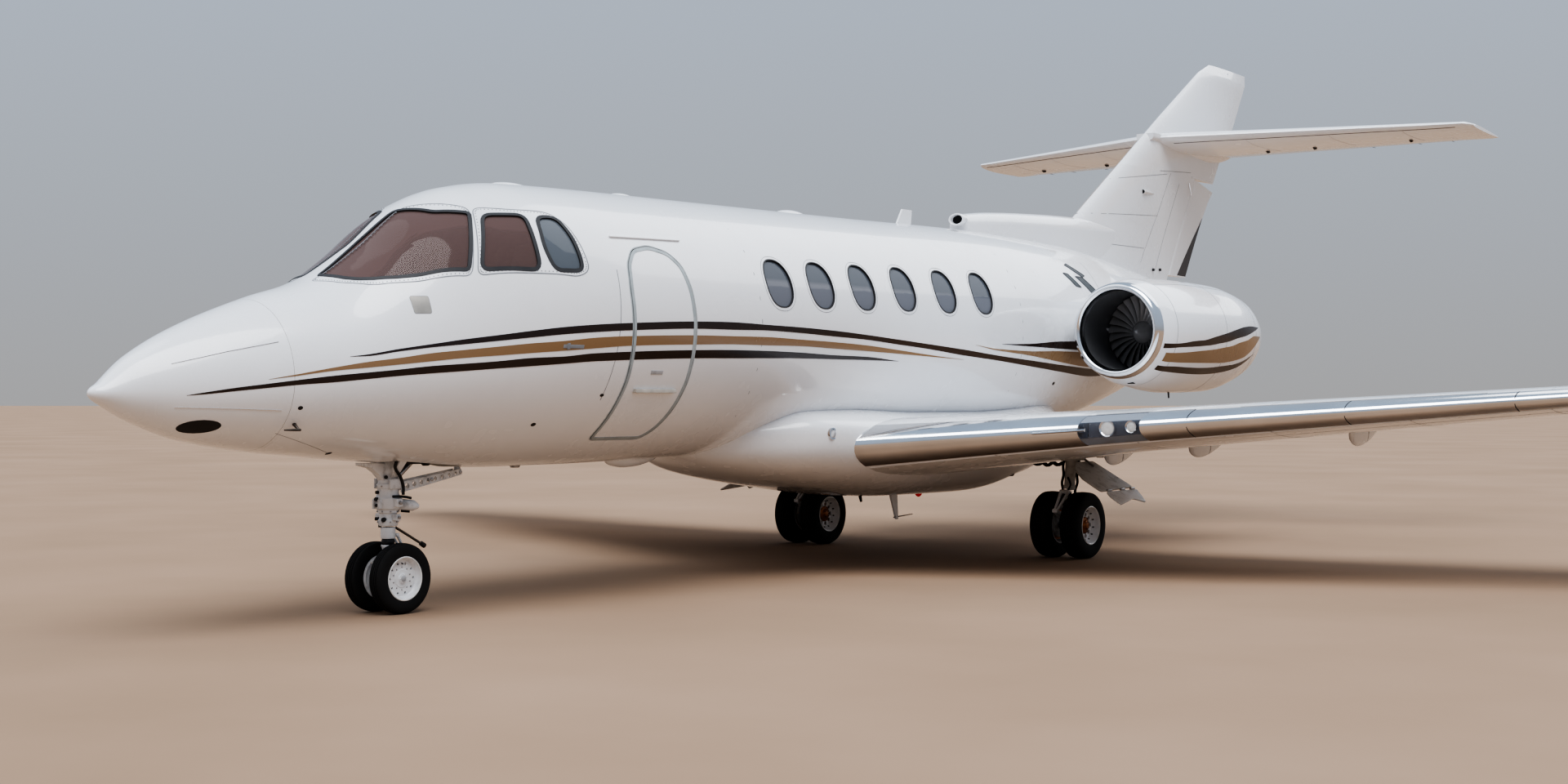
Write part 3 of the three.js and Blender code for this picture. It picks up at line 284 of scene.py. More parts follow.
# Section of a thin raised line: share of its half width, height
SEAM_RING = [(-1, -0.002), (-1, 0.0008), (1, 0.0008), (1, -0.002)]
# Lines across the wing and the tailplane: surface, spans, shares of the chord
WING_SEAMS = [
    (WING, (1.9, 2.9, 3.8, 4.71, 5.6, 6.5, 7.38), (0.075, 0.62)),
    (TAILPLANE, (0.9, 1.7, 2.4), (0.07, 0.66)),
]
EDGE_JOINTS = (3.30, 4.33, 5.40)
# Lines along the wing: spans, share of the chord
LONG_SEAMS = [((1.1, 7.3), 0.155), ((1.1, 4.6), 0.56)]
# Dark joints: surface, spans, share of the chord, 1 on top or -1 below, half width
DARK_JOINTS = [
    (WING, (2.62, 3.30), WING_EDGE + 0.004, 1, 0.005), (WING, (3.60, 5.20), WING_EDGE + 0.004, 1, 0.004),
    (TAILPLANE, (0.20, 2.90), 0.055, -1, 0.007),
]
STALL_STRIP = (2.26, 2.62)
# Spans of the static wicks
AILERON_WICKS = (5.2, 5.9, 6.6)
ELEVATOR_WICKS = (1.7, 2.2, 2.55)
HINGE_COVERS = (0.80, 1.30, 2.30)       # spans, below the tailplane
# Section of the ridge on the wing's nose: distance aft, rise
STALL_RIDGE = [(0.012, 0.014), (-0.014, -0.002), (0.012, -0.016)]

# Seats: width and station of the cushion's middle, and the way that each faces along the aircraft
PILOT_SEATS = [(0.38, 2.78, -1)]
CABIN_SEATS = [(0.48, 5.13, 1), (0.48, 6.27, -1), (0.48, 6.93, 1), (0.48, 8.12, -1)]


def at(station):
    return station - LENGTH / 2


# Finishes

def math_node(operation, reflected=False):
    """A method that adds a Math node; a reflected one takes its own value second."""
    def method(self, other):
        first, second = (other, self) if reflected else (self, other)
        return self.finish.node("Math", {"operation": operation}, {0: first, 1: second})
    return method


class Value:
    """An output of a shader node that takes part in sums."""

    def __init__(self, finish, socket):
        self.finish = finish
        self.socket = socket

    __add__ = math_node("ADD")
    __radd__ = math_node("ADD", True)
    __sub__ = math_node("SUBTRACT")
    __rsub__ = math_node("SUBTRACT", True)
    __mul__ = math_node("MULTIPLY")
    __rmul__ = math_node("MULTIPLY", True)
    __truediv__ = math_node("DIVIDE")


def set_stops(elements, stops):
    """Sets a colour ramp: each stop is a place with a colour or a grey."""
    while len(elements) < len(stops):
        elements.new(0.5)
    for element, (place, shade) in zip(elements, stops):
        element.position = place
        element.color = (*shade, 1.0) if isinstance(shade, tuple) else (shade, shade, shade, 1.0)


def toned(color, share):
    return tuple(c * share for c in color)


class Finish:
    """One material, with its nodes made and joined by short calls."""

    def __init__(self, name, color, roughness, **settings):
        self.material = bpy.data.materials.new(name)
        self.material.use_nodes = True
        self.tree = self.material.node_tree
        self.surface = self.tree.nodes["Principled BSDF"]
        self.set("Base Color", color)
        self.set("Roughness", roughness)
        for socket, value in settings.items():
            self.set(socket.replace("_", " "), value)

    def set(self, socket, value):
        self._feed(self.surface.inputs[socket], value)

    def _feed(self, socket, value):
        if isinstance(value, Value):
            self.tree.links.new(value.socket, socket)
        elif isinstance(value, tuple) and len(value) == 3 and socket.type == "RGBA":
            socket.default_value = (*value, 1.0)
        else:
            socket.default_value = value

    def node(self, kind, settings=None, inputs=None, output=0):
        made = self.tree.nodes.new("ShaderNode" + kind)
        for key, value in (settings or {}).items():
            if key == "stops":
                set_stops(made.color_ramp.elements, value)
            else:
                setattr(made, key, value)
        for key, value in (inputs or {}).items():
            self._feed(made.inputs[key], value)
        return Value(self, made.outputs[output])

    def place(self):
        return self.node("TexCoord", output=3)

    def noise(self, scale, detail=3.0, stretch=(1, 1, 1), roughness=0.5):
        spread = self.node("Mapping", None, {"Vector": self.place(), "Scale": stretch})
        return self.node("TexNoise", None, {
            "Vector": spread, "Scale": scale, "Detail": detail, "Roughness": roughness,
        })

    def ramp(self, value, *stops):
        return self.node("ValToRGB", {"stops": list(stops)}, {"Fac": value})

    def mix(self, factor, first, second):
        return self.node("Mix", {"data_type": "RGBA"}, {0: factor, 6: first, 7: second}, output=2)

    def bump(self, height, strength, distance=0.002):
        self.set("Normal", self.node("Bump", None, {
            "Strength": strength, "Distance": distance, "Height": height,
        }))


def gloss_paint(name, color, grime=0.04, coat=0.7):
    """Sprayed gloss paint: a slow waviness, and a little film of dust in patches."""
    finish = Finish(name, color, 0.28, Coat_Weight=coat, Coat_Roughness=0.04)
    slow = finish.noise(0.9, 2.0)
    fine = finish.noise(7.0, 1.5)
    dust = finish.ramp(slow * 0.6 + fine * 0.4, (0.42, 0.0), (0.72, 1.0))
    finish.set("Base Color", finish.mix(dust * grime * 4, color, toned(color, 0.80)))
    finish.set("Roughness", 0.22 + 0.10 * dust)
    finish.bump(finish.noise(1.2, 0.0), 0.05, 0.004)
    return finish.material


def polished_metal(name, color=(0.80, 0.81, 0.83), roughness=0.10):
    """Bright metal with fine rubbed streaks along the span."""
    finish = Finish(name, color, roughness, Metallic=1.0)
    streaks = finish.noise(14.0, 5.0, (1, 12, 12))
    cloud = finish.noise(2.5, 3.0)
    finish.set("Roughness", roughness * 0.5 + roughness * streaks * 0.7 + roughness * cloud * 0.5)
    finish.set("Base Color", finish.ramp(cloud, (0.3, toned(color, 0.86)), (0.7, color)))
    finish.bump(finish.noise(3.0, 2.0), 0.12, 0.003)
    return finish.material


def worn_paint(name, color, grime_color=(0.10, 0.085, 0.07), amount=0.5, roughness=0.38):
    """Painted gear: gathers dark grime in patches and has chips at a fine scale."""
    finish = Finish(name, color, roughness)
    patches = finish.ramp(finish.noise(14.0, 6.0, roughness=0.62), (0.50, 0.0), (0.70, 1.0))
    finish.set("Base Color", finish.mix(patches * amount, color, grime_color))
    finish.set("Roughness", roughness + 0.25 * patches)
    finish.bump(finish.noise(60.0, 3.0), 0.15, 0.001)
    return finish.material


def glass(name, color, alpha, mirror=1.5, shade=None):
    """Tinted pane: shows what is behind it, and mirrors more at a slant. Given a band, its colour is painted
    lighter below the band's middle and darker above it: painted light and shade.
    """
    finish = Finish(name, color, 0.04, IOR=mirror)
    slant = finish.node("Fresnel", None, {"IOR": mirror})
    finish.set("Alpha", alpha + (1.0 - alpha) * slant)
    # Painted light and shade: the lighter lower colour below the band's middle, the darker upper one above it
    if shade:
        low, high, painted_light_and_shade = shade
        height = finish.node("SeparateXYZ", None, {"Vector": finish.place()}, output=2)
        share = (height - low) / (high - low)
        finish.set("Base Color", finish.ramp(share, (0.0, painted_light_and_shade[0]), (0.46, painted_light_and_shade[0]), (0.54, painted_light_and_shade[1]),
                                             (1.0, painted_light_and_shade[1])))
    finish.bump(finish.noise(5.0, 1.0), 0.05, 0.002)
    return finish.material


def moulded(name, color, roughness, grain=40.0, strength=0.2, metallic=0.0, tone=0.8):
    """Rubber, plastic, cloth or plain metal: cloudy tone and a fine grain."""
    finish = Finish(name, color, roughness, Metallic=metallic)
    cloud = finish.noise(grain * 0.25, 4.0)
    finish.set("Base Color", finish.ramp(cloud, (0.35, toned(color, tone)), (0.65, color)))
    finish.set("Roughness", roughness * 0.85 + roughness * 0.3 * cloud)
    finish.bump(finish.noise(grain, 5.0), strength, 0.001)
    return finish.material


def leather(name, color):
    """Soft hide: pebbled grain and a cloudy darker tone."""
    finish = Finish(name, color, 0.5, Sheen_Weight=0.15)
    pebble = finish.node("TexVoronoi", {"feature": "DISTANCE_TO_EDGE"}, {
        "Vector": finish.place(), "Scale": 260.0,
    })
    tone = finish.noise(6.0, 4.0)
    finish.set("Base Color", finish.mix(tone, toned(color, 0.82), color))
    finish.set("Roughness", 0.42 + 0.16 * tone)
    finish.bump(pebble, 0.35, 0.0008)
    return finish.material


def glow(name, color):
    """A coloured lamp cover: ribbed clear plastic over colour."""
    finish = Finish(name, color, 0.12, Coat_Weight=1.0)
    finish.set("Base Color", finish.ramp(finish.noise(30.0, 2.0), (0.3, toned(color, 0.7)), (0.7, color)))
    finish.set("Emission Color", color)
    finish.set("Emission Strength", 0.25)
    finish.bump(finish.noise(80.0, 1.0), 0.2, 0.001)
    return finish.material


MATERIAL = {
    "white": gloss_paint("white_paint", (0.84, 0.85, 0.87)),
    "dark": gloss_paint("stripe_brown", (0.022, 0.010, 0.007), 0.0, 0.15),
    "tan": gloss_paint("stripe_tan", (0.27, 0.165, 0.085), 0.0, 0.3),
    "polished": polished_metal("polished_edge"),
    "chrome": polished_metal("chrome_rod", (0.86, 0.86, 0.87), 0.06),
    "rose_glass": glass("cockpit_glass", (0.20, 0.135, 0.125), 0.50, 1.3),
    # Cabin panes painted lighter in their lower half and darker in their upper half: painted light and shade
    "grey_glass": glass("cabin_glass", (0.06, 0.07, 0.08), 0.84, 1.3, (
        2.07, 2.45, ((0.20, 0.21, 0.24), (0.115, 0.13, 0.155)))),
    "blue_glass": glass("corner_glass", (0.16, 0.18, 0.205), 0.68, 1.4),
    "clear": glass("lamp_glass", (0.30, 0.33, 0.38), 0.04, 1.2),
    "seal": moulded("black_seal", (0.035, 0.035, 0.038), 0.55),
    "frame": moulded("frame_grey", (0.50, 0.51, 0.53), 0.45, 60.0, 0.1),
    "outline": moulded("frame_outline", (0.26, 0.27, 0.29), 0.5, 60.0, 0.1),
    "door_seal": moulded("door_seal", (0.42, 0.47, 0.49), 0.5, 50.0, 0.15),
    "seam": moulded("seam_shadow", (0.33, 0.34, 0.36), 0.6, 50.0, 0.1),
    "plate": moulded("bare_plate", (0.42, 0.39, 0.35), 0.35, 30.0, 0.1, 0.6),
    "tyre": moulded("tyre_rubber", (0.0085, 0.0085, 0.009), 0.80, 45.0, 0.35, tone=0.6),
    "hub": worn_paint("hub_white", (0.80, 0.81, 0.82), amount=0.18, roughness=0.3),
    "gear": worn_paint("gear_paint", (0.74, 0.75, 0.76), amount=0.42),
    "grey": worn_paint("gear_grey", (0.56, 0.56, 0.55), amount=0.35),
    "copper": moulded("brake_copper", (0.35, 0.14, 0.06), 0.4, 60.0, 0.2, 0.7),
    "steel": moulded("plain_steel", (0.45, 0.45, 0.46), 0.32, 60.0, 0.1, 0.9),
    "hose": moulded("black_hose", (0.018, 0.018, 0.02), 0.5, 80.0, 0.2),
    "fan": moulded("fan_metal", (0.50, 0.49, 0.49), 0.42, 20.0, 0.05, 0.7),
    "duct": moulded("duct_dark", (0.13, 0.13, 0.135), 0.45, 14.0, 0.1, 0.2),
    "spinner": moulded("spinner_dark", (0.46, 0.45, 0.45), 0.4, 14.0, 0.05, 0.2),
    "soot": moulded("exhaust_metal", (0.16, 0.14, 0.125), 0.45, 16.0, 0.15, 0.9, 0.6),
    "leather": leather("seat_leather", (0.62, 0.54, 0.43)),
    "liner": moulded("cabin_liner", (0.55, 0.52, 0.47), 0.7, 50.0, 0.2),
    "carpet": moulded("cabin_carpet", (0.16, 0.13, 0.11), 0.95, 220.0, 0.6),
    "panel": moulded("panel_black", (0.030, 0.031, 0.034), 0.5, 90.0, 0.3),
    "bay": moulded("bay_primer", (0.42, 0.44, 0.40), 0.6, 20.0, 0.2),
    # Near black: the cockpit screens' own colour, and painted shade in the scoop's throat, the fin inlets'
    # mouths and behind the cowls' lips
    "black_and_shade": moulded("screen_black_and_painted_shade", (0.006, 0.006, 0.007), 0.8),
    "red": glow("red_lamp", (0.75, 0.03, 0.02)),
    "green": glow("green_lamp", (0.02, 0.42, 0.12)),
    "bulb": moulded("lamp_bulb", (0.88, 0.88, 0.86), 0.15, 60.0, 0.1),
    "bowl": moulded("lamp_bowl", (0.14, 0.16, 0.21), 0.25, 24.0, 0.1, 0.7),
    "vent": moulded("vent_mesh", (0.095, 0.11, 0.12), 0.45, 90.0, 0.3, 0.6),
}


def floor_finish():
    finish = Finish("floor_plain", (0.33, 0.25, 0.19), 0.95, Specular_IOR_Level=0.15)
    cloud = finish.noise(0.35, 5.0)
    finish.set("Base Color", finish.ramp(cloud, (0.3, (0.31, 0.215, 0.148)), (0.7, (0.36, 0.252, 0.178))))
    finish.bump(finish.noise(24.0, 4.0), 0.12, 0.002)
    return finish.material


# Forms

def ring_of(centre, side, up, radius, sides):
    """Points on a circle in the plane of two directions."""
    return [centre + radius * (math.cos(a) * side + math.sin(a) * up) for a in around(sides)]


class Form:
    """Points and faces gathered for one piece."""

    def __init__(self):
        self.points = []
        self.faces = []

    def add(self, points, faces):
        start = len(self.points)
        self.points += [Vector(point) for point in points]
        self.faces += [[start + i for i in face] for face in faces]
        return self

    def grid(self, rows, closed=True, ends=False):
        """A surface through rows of points. A closed row joins its last point to its first."""
        width = len(rows[0])
        faces = []
        for i in range(len(rows) - 1):
            near, far = i * width, (i + 1) * width
            for j in range(width if closed else width - 1):
                k = (j + 1) % width
                faces.append((near + j, near + k, far + k, far + j))
        if ends:
            last = (len(rows) - 1) * width
            faces.append(tuple(reversed(range(width))))
            faces.append(tuple(last + j for j in range(width)))
        return self.add([point for row in rows for point in row], faces)

    def tube(self, path, radius, sides=10):
        """A round rod or hose along a path, with one radius or one for each point."""
        path = [Vector(point) for point in path]
        radii = radius if isinstance(radius, (list, tuple)) else [radius] * len(path)
        side = None
        rings = []
        for i, point in enumerate(path):
            ahead = (path[min(i + 1, len(path) - 1)] - path[max(i - 1, 0)]).normalized()
            side = ahead.orthogonal() if side is None else side - side.dot(ahead) * ahead
            side.normalize()
            rings.append(ring_of(point, side, ahead.cross(side), radii[i], sides))
        return self.grid(rings, ends=True)

    def rod(self, spot, way, low, high, radius, sides=12):
        """A straight rod on the line through a spot, between two distances along its way."""
        spot, way = Vector(spot), Vector(way)
        return self.tube([spot + way * low, spot + way * high], radius, sides)

    def lathe(self, profile, centre=(0, 0, 0), axis=(0, 0, 1), sides=48):
        """A round body: a profile of distance along the axis and radius."""
        centre, axis = Vector(centre), Vector(axis).normalized()
        side = axis.orthogonal().normalized()
        up = axis.cross(side)
        rows = [ring_of(centre + axis * along, side, up, radius, sides) for along, radius in profile]
        return self.grid(rows)

    def prism(self, outline, depth):
        """A flat outline pushed along a vector."""
        outline, depth = [Vector(point) for point in outline], Vector(depth)
        return self.grid([outline, [point + depth for point in outline]], ends=True)

    def block(self, low, high):
        (x0, y0, z0), (x1, y1, z1) = low, high
        return self.prism([(x0, y0, z0), (x1, y0, z0), (x1, y1, z0), (x0, y1, z0)], (0, 0, z1 - z0))

    def moved(self, matrix):
        return Form().add([matrix @ point for point in self.points], self.faces)

    def mirrored(self):
        return self.moved(Matrix.Diagonal((-1, 1, 1, 1)))

    def join(self, other):
        return self.add(other.points, other.faces)

    def mesh(self, name, turned=True, bevel=0.0, sharp=35):
        """A mesh with its doubles joined, its faces turned outwards and its sharp edges softened."""
        mesh = bpy.data.meshes.new(name)
        mesh.from_pydata(self.points, [], self.faces)
        work = bmesh.new()
        work.from_mesh(mesh)
        bmesh.ops.remove_doubles(work, verts=work.verts, dist=1e-5)
        if turned:
            bmesh.ops.recalc_face_normals(work, faces=work.faces)
        if bevel:
            edges = [e for e in work.edges if e.is_manifold and e.calc_face_angle(0) > math.radians(sharp)]
            bmesh.ops.bevel(work, geom=edges, offset=bevel, segments=2, profile=0.6, affect="EDGES",
                            clamp_overlap=True)
        work.to_mesh(mesh)
        work.free()
        return mesh

    def make(self, name, finish, body="airframe", replaces=(), bevel=0.0, sharp=35):
        return settle(name, self.mesh(name, True, bevel, sharp), finish, body, replaces, sharp)

    def make_pair(self, name, finish, body="airframe", node="", bevel=0.0, sharp=35):
        """The left piece as it is drawn, and its mirror image on the right."""
        for hand, side in SIDES:
            form = self if side > 0 else self.mirrored()
            replaces = [f"{node}_{hand}"] if node else []
            form.make(f"{name}_{hand}", finish, body_on(body, side), replaces, bevel, sharp)


def linked(name, data):
    """A new object in the scene."""
    made = bpy.data.objects.new(name, data)
    bpy.context.collection.objects.link(made)
    return made


def settle(name, mesh, finish, body="airframe", replaces=(), sharp=35):
    """Makes a piece of a mesh, gives it its finish and lets it ride on its body."""
    mesh.materials.clear()
    mesh.materials.append(MATERIAL[finish])
    mesh.shade_smooth()
    mesh.set_sharp_from_angle(angle=math.radians(sharp))
    piece = linked(name, mesh)
    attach(piece, body)
    if replaces:
        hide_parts(*replaces)
    return piece


def body_on(body, side):
    """The body of a moving piece on one side of the aircraft."""
    if body == "airframe":
        return body
    return f"{body}_port" if side > 0 else f"{body}_starboard"


def both(kind, outline, *sizes):
    """A small form on the skin, on the left and on the right."""
    return kind(outline, *sizes, 1).join(kind(outline, *sizes, -1))


def around(count, start=0.0):
    return [start + 2 * math.pi * i / count for i in range(count)]


def half_turn(count):
    return [math.pi * i / count for i in range(count + 1)]


def steps(low, high, size):
    count = max(1, round((high - low) / size))
    return [low + (high - low) * i / count for i in range(count + 1)]


def line(ends, places, place):
    share = (place - places[0]) / (places[1] - places[0])
    return ends[0] + (ends[1] - ends[0]) * share


def faired(rows, place):
    """Every column of a table at one place, on smooth curves through its rows."""
    last = len(rows) - 1
    i = 0
    while i < last - 1 and rows[i + 1][0] < place:
        i += 1
    span = rows[i + 1][0] - rows[i][0]
    t = min(max((place - rows[i][0]) / span, 0.0), 1.0)

    def rise(j, k):
        return (rows[j + 1][k] - rows[j][k]) / (rows[j + 1][0] - rows[j][0])

    def slope(j, k):
        if j in (0, last):
            return rise(max(j - 1, 0), k)
        before, after = rise(j - 1, k), rise(j, k)
        return 0.0 if before * after <= 0 else 2 * before * after / (before + after)

    values = []
    for k in range(1, len(rows[0])):
        values.append(
            rows[i][k] * (2 * t ** 3 - 3 * t ** 2 + 1) + rows[i + 1][k] * (3 * t ** 2 - 2 * t ** 3)
            + span * (slope(i, k) * (t ** 3 - 2 * t ** 2 + t) + slope(i + 1, k) * (t ** 3 - t ** 2))
        )
    return values


def straight(rows, place):
    """Every column of a table at one place, on straight lines through its rows."""
    i = 0
    while i < len(rows) - 2 and rows[i + 1][0] < place:
        i += 1
    share = (place - rows[i][0]) / (rows[i + 1][0] - rows[i][0])
    return [a + (b - a) * share for a, b in zip(rows[i][1:], rows[i + 1][1:])]


def rounded(outline, radius, count=5):
    """A closed outline with its corners rounded."""
    result = []
    size = len(outline)
    for i, corner in enumerate(outline):
        corner = Vector(corner)
        before, after = Vector(outline[i - 1]) - corner, Vector(outline[(i + 1) % size]) - corner
        start = corner + before.normalized() * min(radius, before.length * 0.48)
        end = corner + after.normalized() * min(radius, after.length * 0.48)
        for j in range(count + 1):
            t = j / count
            result.append(tuple((1 - t) ** 2 * start + 2 * t * (1 - t) * corner + t ** 2 * end))
    return result


def filled(outline, size):
    """A closed outline with no edge longer than the size."""
    result = []
    for i, point in enumerate(outline):
        start, end = Vector(point), Vector(outline[(i + 1) % len(outline)])
        count = max(1, math.ceil((end - start).length / size))
        result += [tuple(start.lerp(end, j / count)) for j in range(count)]
    return result


def widened(outline, distance):
    """A closed flat outline moved outwards along its own normals."""
    size = len(outline)
    area = sum(outline[i - 1][0] * outline[i][1] - outline[i][0] * outline[i - 1][1] for i in range(size))
    turn = 1 if area > 0 else -1
    result = []
    for i in range(size):
        along = Vector(outline[(i + 1) % size]) - Vector(outline[i - 1])
        out = Vector((along.y, -along.x)).normalized() * turn
        result.append(tuple(Vector(outline[i]) + out * distance))
    return result


def oval_outline(centre, width, height, count=40, power=0.85):
    points = []
    for a in around(count):
        c, s = math.cos(a), math.sin(a)
        points.append((
            centre[0] + width / 2 * math.copysign(abs(c) ** power, c),
            centre[1] + height / 2 * math.copysign(abs(s) ** power, s),
        ))
    return points


# Fuselage skin

@functools.lru_cache(maxsize=None)
def hull_row(station):
    """Half width, height of the widest line, top and bottom. Both ends of the fuselage are domes."""
    half, middle, top, bottom = faired(HULL, max(station, NOSE_TIP))
    if NOSE_TIP <= station <= HULL_END:
        return half, middle, top, bottom
    if station < NOSE_TIP:
        share = math.sqrt(max(station, 0.0) / NOSE_TIP)
    else:
        share = math.sqrt(max(0.0, 1 - ((station - HULL_END) / TAIL_DOME) ** 2))
    return half * share, middle, middle + (top - middle) * share, middle - (middle - bottom) * share


def hull_point(station, angle, inset=0.0):
    half, middle, top, bottom = hull_row(station)
    c, s = math.cos(angle), math.sin(angle)
    height = top - middle if s > 0 else middle - bottom
    return Vector(((half - inset) * c, at(station), middle + (height - inset) * s))


def hull_normal(station, angle):
    small = 1e-3
    along = hull_point(station + small, angle) - hull_point(station - small, angle)
    across = hull_point(station, angle + small) - hull_point(station, angle - small)
    return across.cross(along).normalized() * -1


def skin(station, angle, lift=0.0):
    point = hull_point(station, angle)
    return point + hull_normal(station, angle) * lift if lift else point


def hull_angle(x, station, z):
    half, middle, top, bottom = hull_row(station)
    height = top - middle if z > middle else middle - bottom
    return math.atan2((z - middle) / height, x / half)


def side_angle(station, z):
    _, middle, top, bottom = hull_row(station)
    height = top - middle if z > middle else middle - bottom
    return math.asin(max(-1.0, min(1.0, (z - middle) / height)))


def on_skin(point, lift=0.0, side=1):
    """A point drawn as station and distance up round the skin from its widest line."""
    station, up = point
    placed = skin(station, up / GIRTH, lift)
    placed.x *= side
    return placed


def hull_spot(station, z, lift=0.0, side=1):
    """A point on the skin at a height."""
    placed = skin(station, side_angle(station, z), lift)
    placed.x *= side
    return placed


def from_side(outline):
    """An outline of station and height, drawn on the skin."""
    return [(station, side_angle(station, z) * GIRTH) for station, z in outline]


def skin_patch(outline, lift, rings=6, side=1):
    """Rows from the outline's edge to its middle, all on the skin."""
    middle = sum((Vector(point) for point in outline), Vector((0, 0))) / len(outline)
    rows = []
    for i in range(rings + 1):
        share = 1 - i / rings
        rows.append([on_skin(middle + (Vector(point) - middle) * share, lift, side) for point in outline])
    return rows


def skin_plug(outline, outer, inner, rings=6, side=1):
    """A closed body between two depths, under an outline on the skin."""
    rows = skin_patch(outline, outer, rings, side)[::-1] + skin_patch(outline, inner, rings, side)
    return Form().grid(rows)


def skin_band(outline, inside, outside, height, sink=0.002, side=1):
    """A raised bead on the skin, all round an outline."""
    a, b = widened(outline, inside), widened(outline, outside)
    rows = [
        [on_skin(p, lift, side) for p in ring]
        for ring, lift in [(a, -sink), (a, height), (b, height), (b, -sink), (a, -sink)]
    ]
    return Form().grid(rows)


def skin_strip(path, half, height, sink=0.002, side=1):
    """A raised bead on the skin along an open path of station and girth."""
    left, right = [], []
    for i, point in enumerate(path):
        along = Vector(path[min(i + 1, len(path) - 1)]) - Vector(path[max(i - 1, 0)])
        across = Vector((-along.y, along.x)).normalized() * half
        left.append(Vector(point) + across)
        right.append(Vector(point) - across)
    rows = [
        [on_skin(p, -sink, side), on_skin(p, height, side), on_skin(q, height, side), on_skin(q, -sink, side)]
        for p, q in zip(left, right)
    ]
    return Form().grid(rows, ends=True)


def pane_outline(corners, radius):
    drawn = [(station, hull_angle(x, station, z) * GIRTH) for x, station, z in corners]
    return filled(rounded(drawn, radius), 0.03)


WINDOW_OUTLINES = [
    from_side(oval_outline(centre, CABIN_WINDOW["width"], CABIN_WINDOW["height"])) for centre in CABIN_WINDOWS
]
PANE_OUTLINES = [pane_outline(corners, radius) for corners, radius in COCKPIT_PANES]
DOOR_OUTLINE = from_side(filled(rounded(DOOR, 0.05, 3), 0.04))


def hull_stations():
    stations = []
    for low, high, step in HULL_STEPS:
        stations += steps(low, high, step)[:-1]
    return stations + [HULL_END + TAIL_DOME * math.sin(a * math.pi / 12) for a in range(6)]


def fuselage_shell():
    """The skin and its inner wall, with each window and the door cut through."""
    shell = Form()
    angles = around(HULL_ANGLES)
    stations = hull_stations()
    shell.grid([[hull_point(s, a) for a in angles] for s in stations[::-1]], ends=True)
    inner = [s for s in stations if INSIDE[0] < s < INSIDE[1]]
    shell.grid([[hull_point(s, a, WALL) for a in angles] for s in inner], ends=True)
    return shell


def fuselage_cutters():
    cutters = Form()
    for side in (1, -1):
        for outline in WINDOW_OUTLINES + PANE_OUTLINES:
            cutters.join(skin_plug(outline, 0.03, -0.10, 5, side))
    cutters.join(skin_plug(DOOR_OUTLINE, 0.03, -0.12, 8))
    half = NOSE_BAY["half"]
    cutters.block((-half, at(NOSE_BAY["start"]), 0.85), (half, at(NOSE_BAY["end"]), 1.10))
    return cutters


def as_shown(piece):
    """A new mesh of the piece as its modifiers leave it."""
    return bpy.data.meshes.new_from_object(piece.evaluated_get(bpy.context.evaluated_depsgraph_get()))


def carve(form, cutters, name):
    """The form less the cutters, as a mesh."""
    body, tool = linked(name, form.mesh(name, turned=False)), linked("cutter", cutters.mesh("cutter"))
    cut = body.modifiers.new("cut", "BOOLEAN")
    cut.operation, cut.solver, cut.object = "DIFFERENCE", "EXACT", tool
    shaped = as_shown(body)
    bpy.data.objects.remove(body)
    bpy.data.objects.remove(tool)
    shaped.name = name
    return shaped


def smooth_as_skin(mesh):
    """Gives each face on the skin the skin's own normals, so that cuts leave no marks in its gloss."""
    normals = []
    spots = {}
    for vertex in mesh.vertices:
        x, y, z = vertex.co
        station = y + LENGTH / 2
        angle = hull_angle(x, station, z) if station < HULL_END else 0.0
        off = (vertex.co - hull_point(station, angle)).length if station < HULL_END else 1.0
        spots[vertex.index] = hull_normal(station, angle) if off < 0.004 else None
    for face in mesh.polygons:
        guides = [spots[i] for i in face.vertices]
        outer = all(g is not None for g in guides) and face.normal.dot(guides[0]) > 0.8
        face.use_smooth = outer
        face.material_index = 0 if outer or face.center.y > at(INSIDE[1]) else 1
        normals += guides if outer else [face.normal.copy() for _ in face.vertices]
    mesh.normals_split_custom_set([tuple(n) for n in normals])


def make_fuselage():
    mesh = carve(fuselage_shell(), fuselage_cutters(), "fuselage_skin")
    settle("fuselage_skin", mesh, "white", replaces=["forward_fuselage", "cabin_fuselage", "tail_fuselage"])
    mesh.materials.append(MATERIAL["liner"])
    smooth_as_skin(mesh)


def make_radome():
    stations = [NOSE_TIP * (i / 8) ** 2 for i in range(9)] + steps(NOSE_TIP, RADOME_END, 0.03)[1:]
    stations[-1] = RADOME_END - 0.002
    rows = [[hull_point(s, a) for a in around(HULL_ANGLES)] for s in stations]
    rows.append([hull_point(RADOME_END - 0.002, a, 0.02) for a in around(HULL_ANGLES)])
    Form().grid(rows).make("radome_shell", "white", replaces=["radome"], sharp=50)


def make_glass():
    """Cockpit and cabin panes, each a little below the skin."""
    finishes = ["rose_glass", "rose_glass", "blue_glass"]
    for name, side in SIDES:
        for number, (outline, finish) in enumerate(zip(PANE_OUTLINES, finishes), 1):
            outline = widened(outline, PANE_EDGE)
            pane = skin_plug(outline, -COCKPIT_SINK, -COCKPIT_SINK - PANE_THICK, 6, side)
            replaces = ["cockpit_glazing"] if number == 1 else []
            pane.make(f"cockpit_pane_{number}_{name}", finish, replaces=replaces, sharp=60)
        panes = Form()
        for outline in WINDOW_OUTLINES:
            outline = widened(outline, PANE_EDGE)
            panes.join(skin_plug(outline, -CABIN_SINK, -CABIN_SINK - PANE_THICK, 5, side))
        panes.make(f"cabin_panes_{name}", "grey_glass", replaces=[f"cabin_glazing_{name}"], sharp=60)


def rivet_row(outline, side):
    """Small round heads at even distances along an outline on the skin."""
    form = Form()
    for point in filled(outline, RIVETS["pitch"]):
        head, foot = on_skin(point, RIVETS["height"], side), on_skin(point, -RIVETS["height"], side)
        form.tube([foot, head], RIVETS["radius"], 8)
    return form


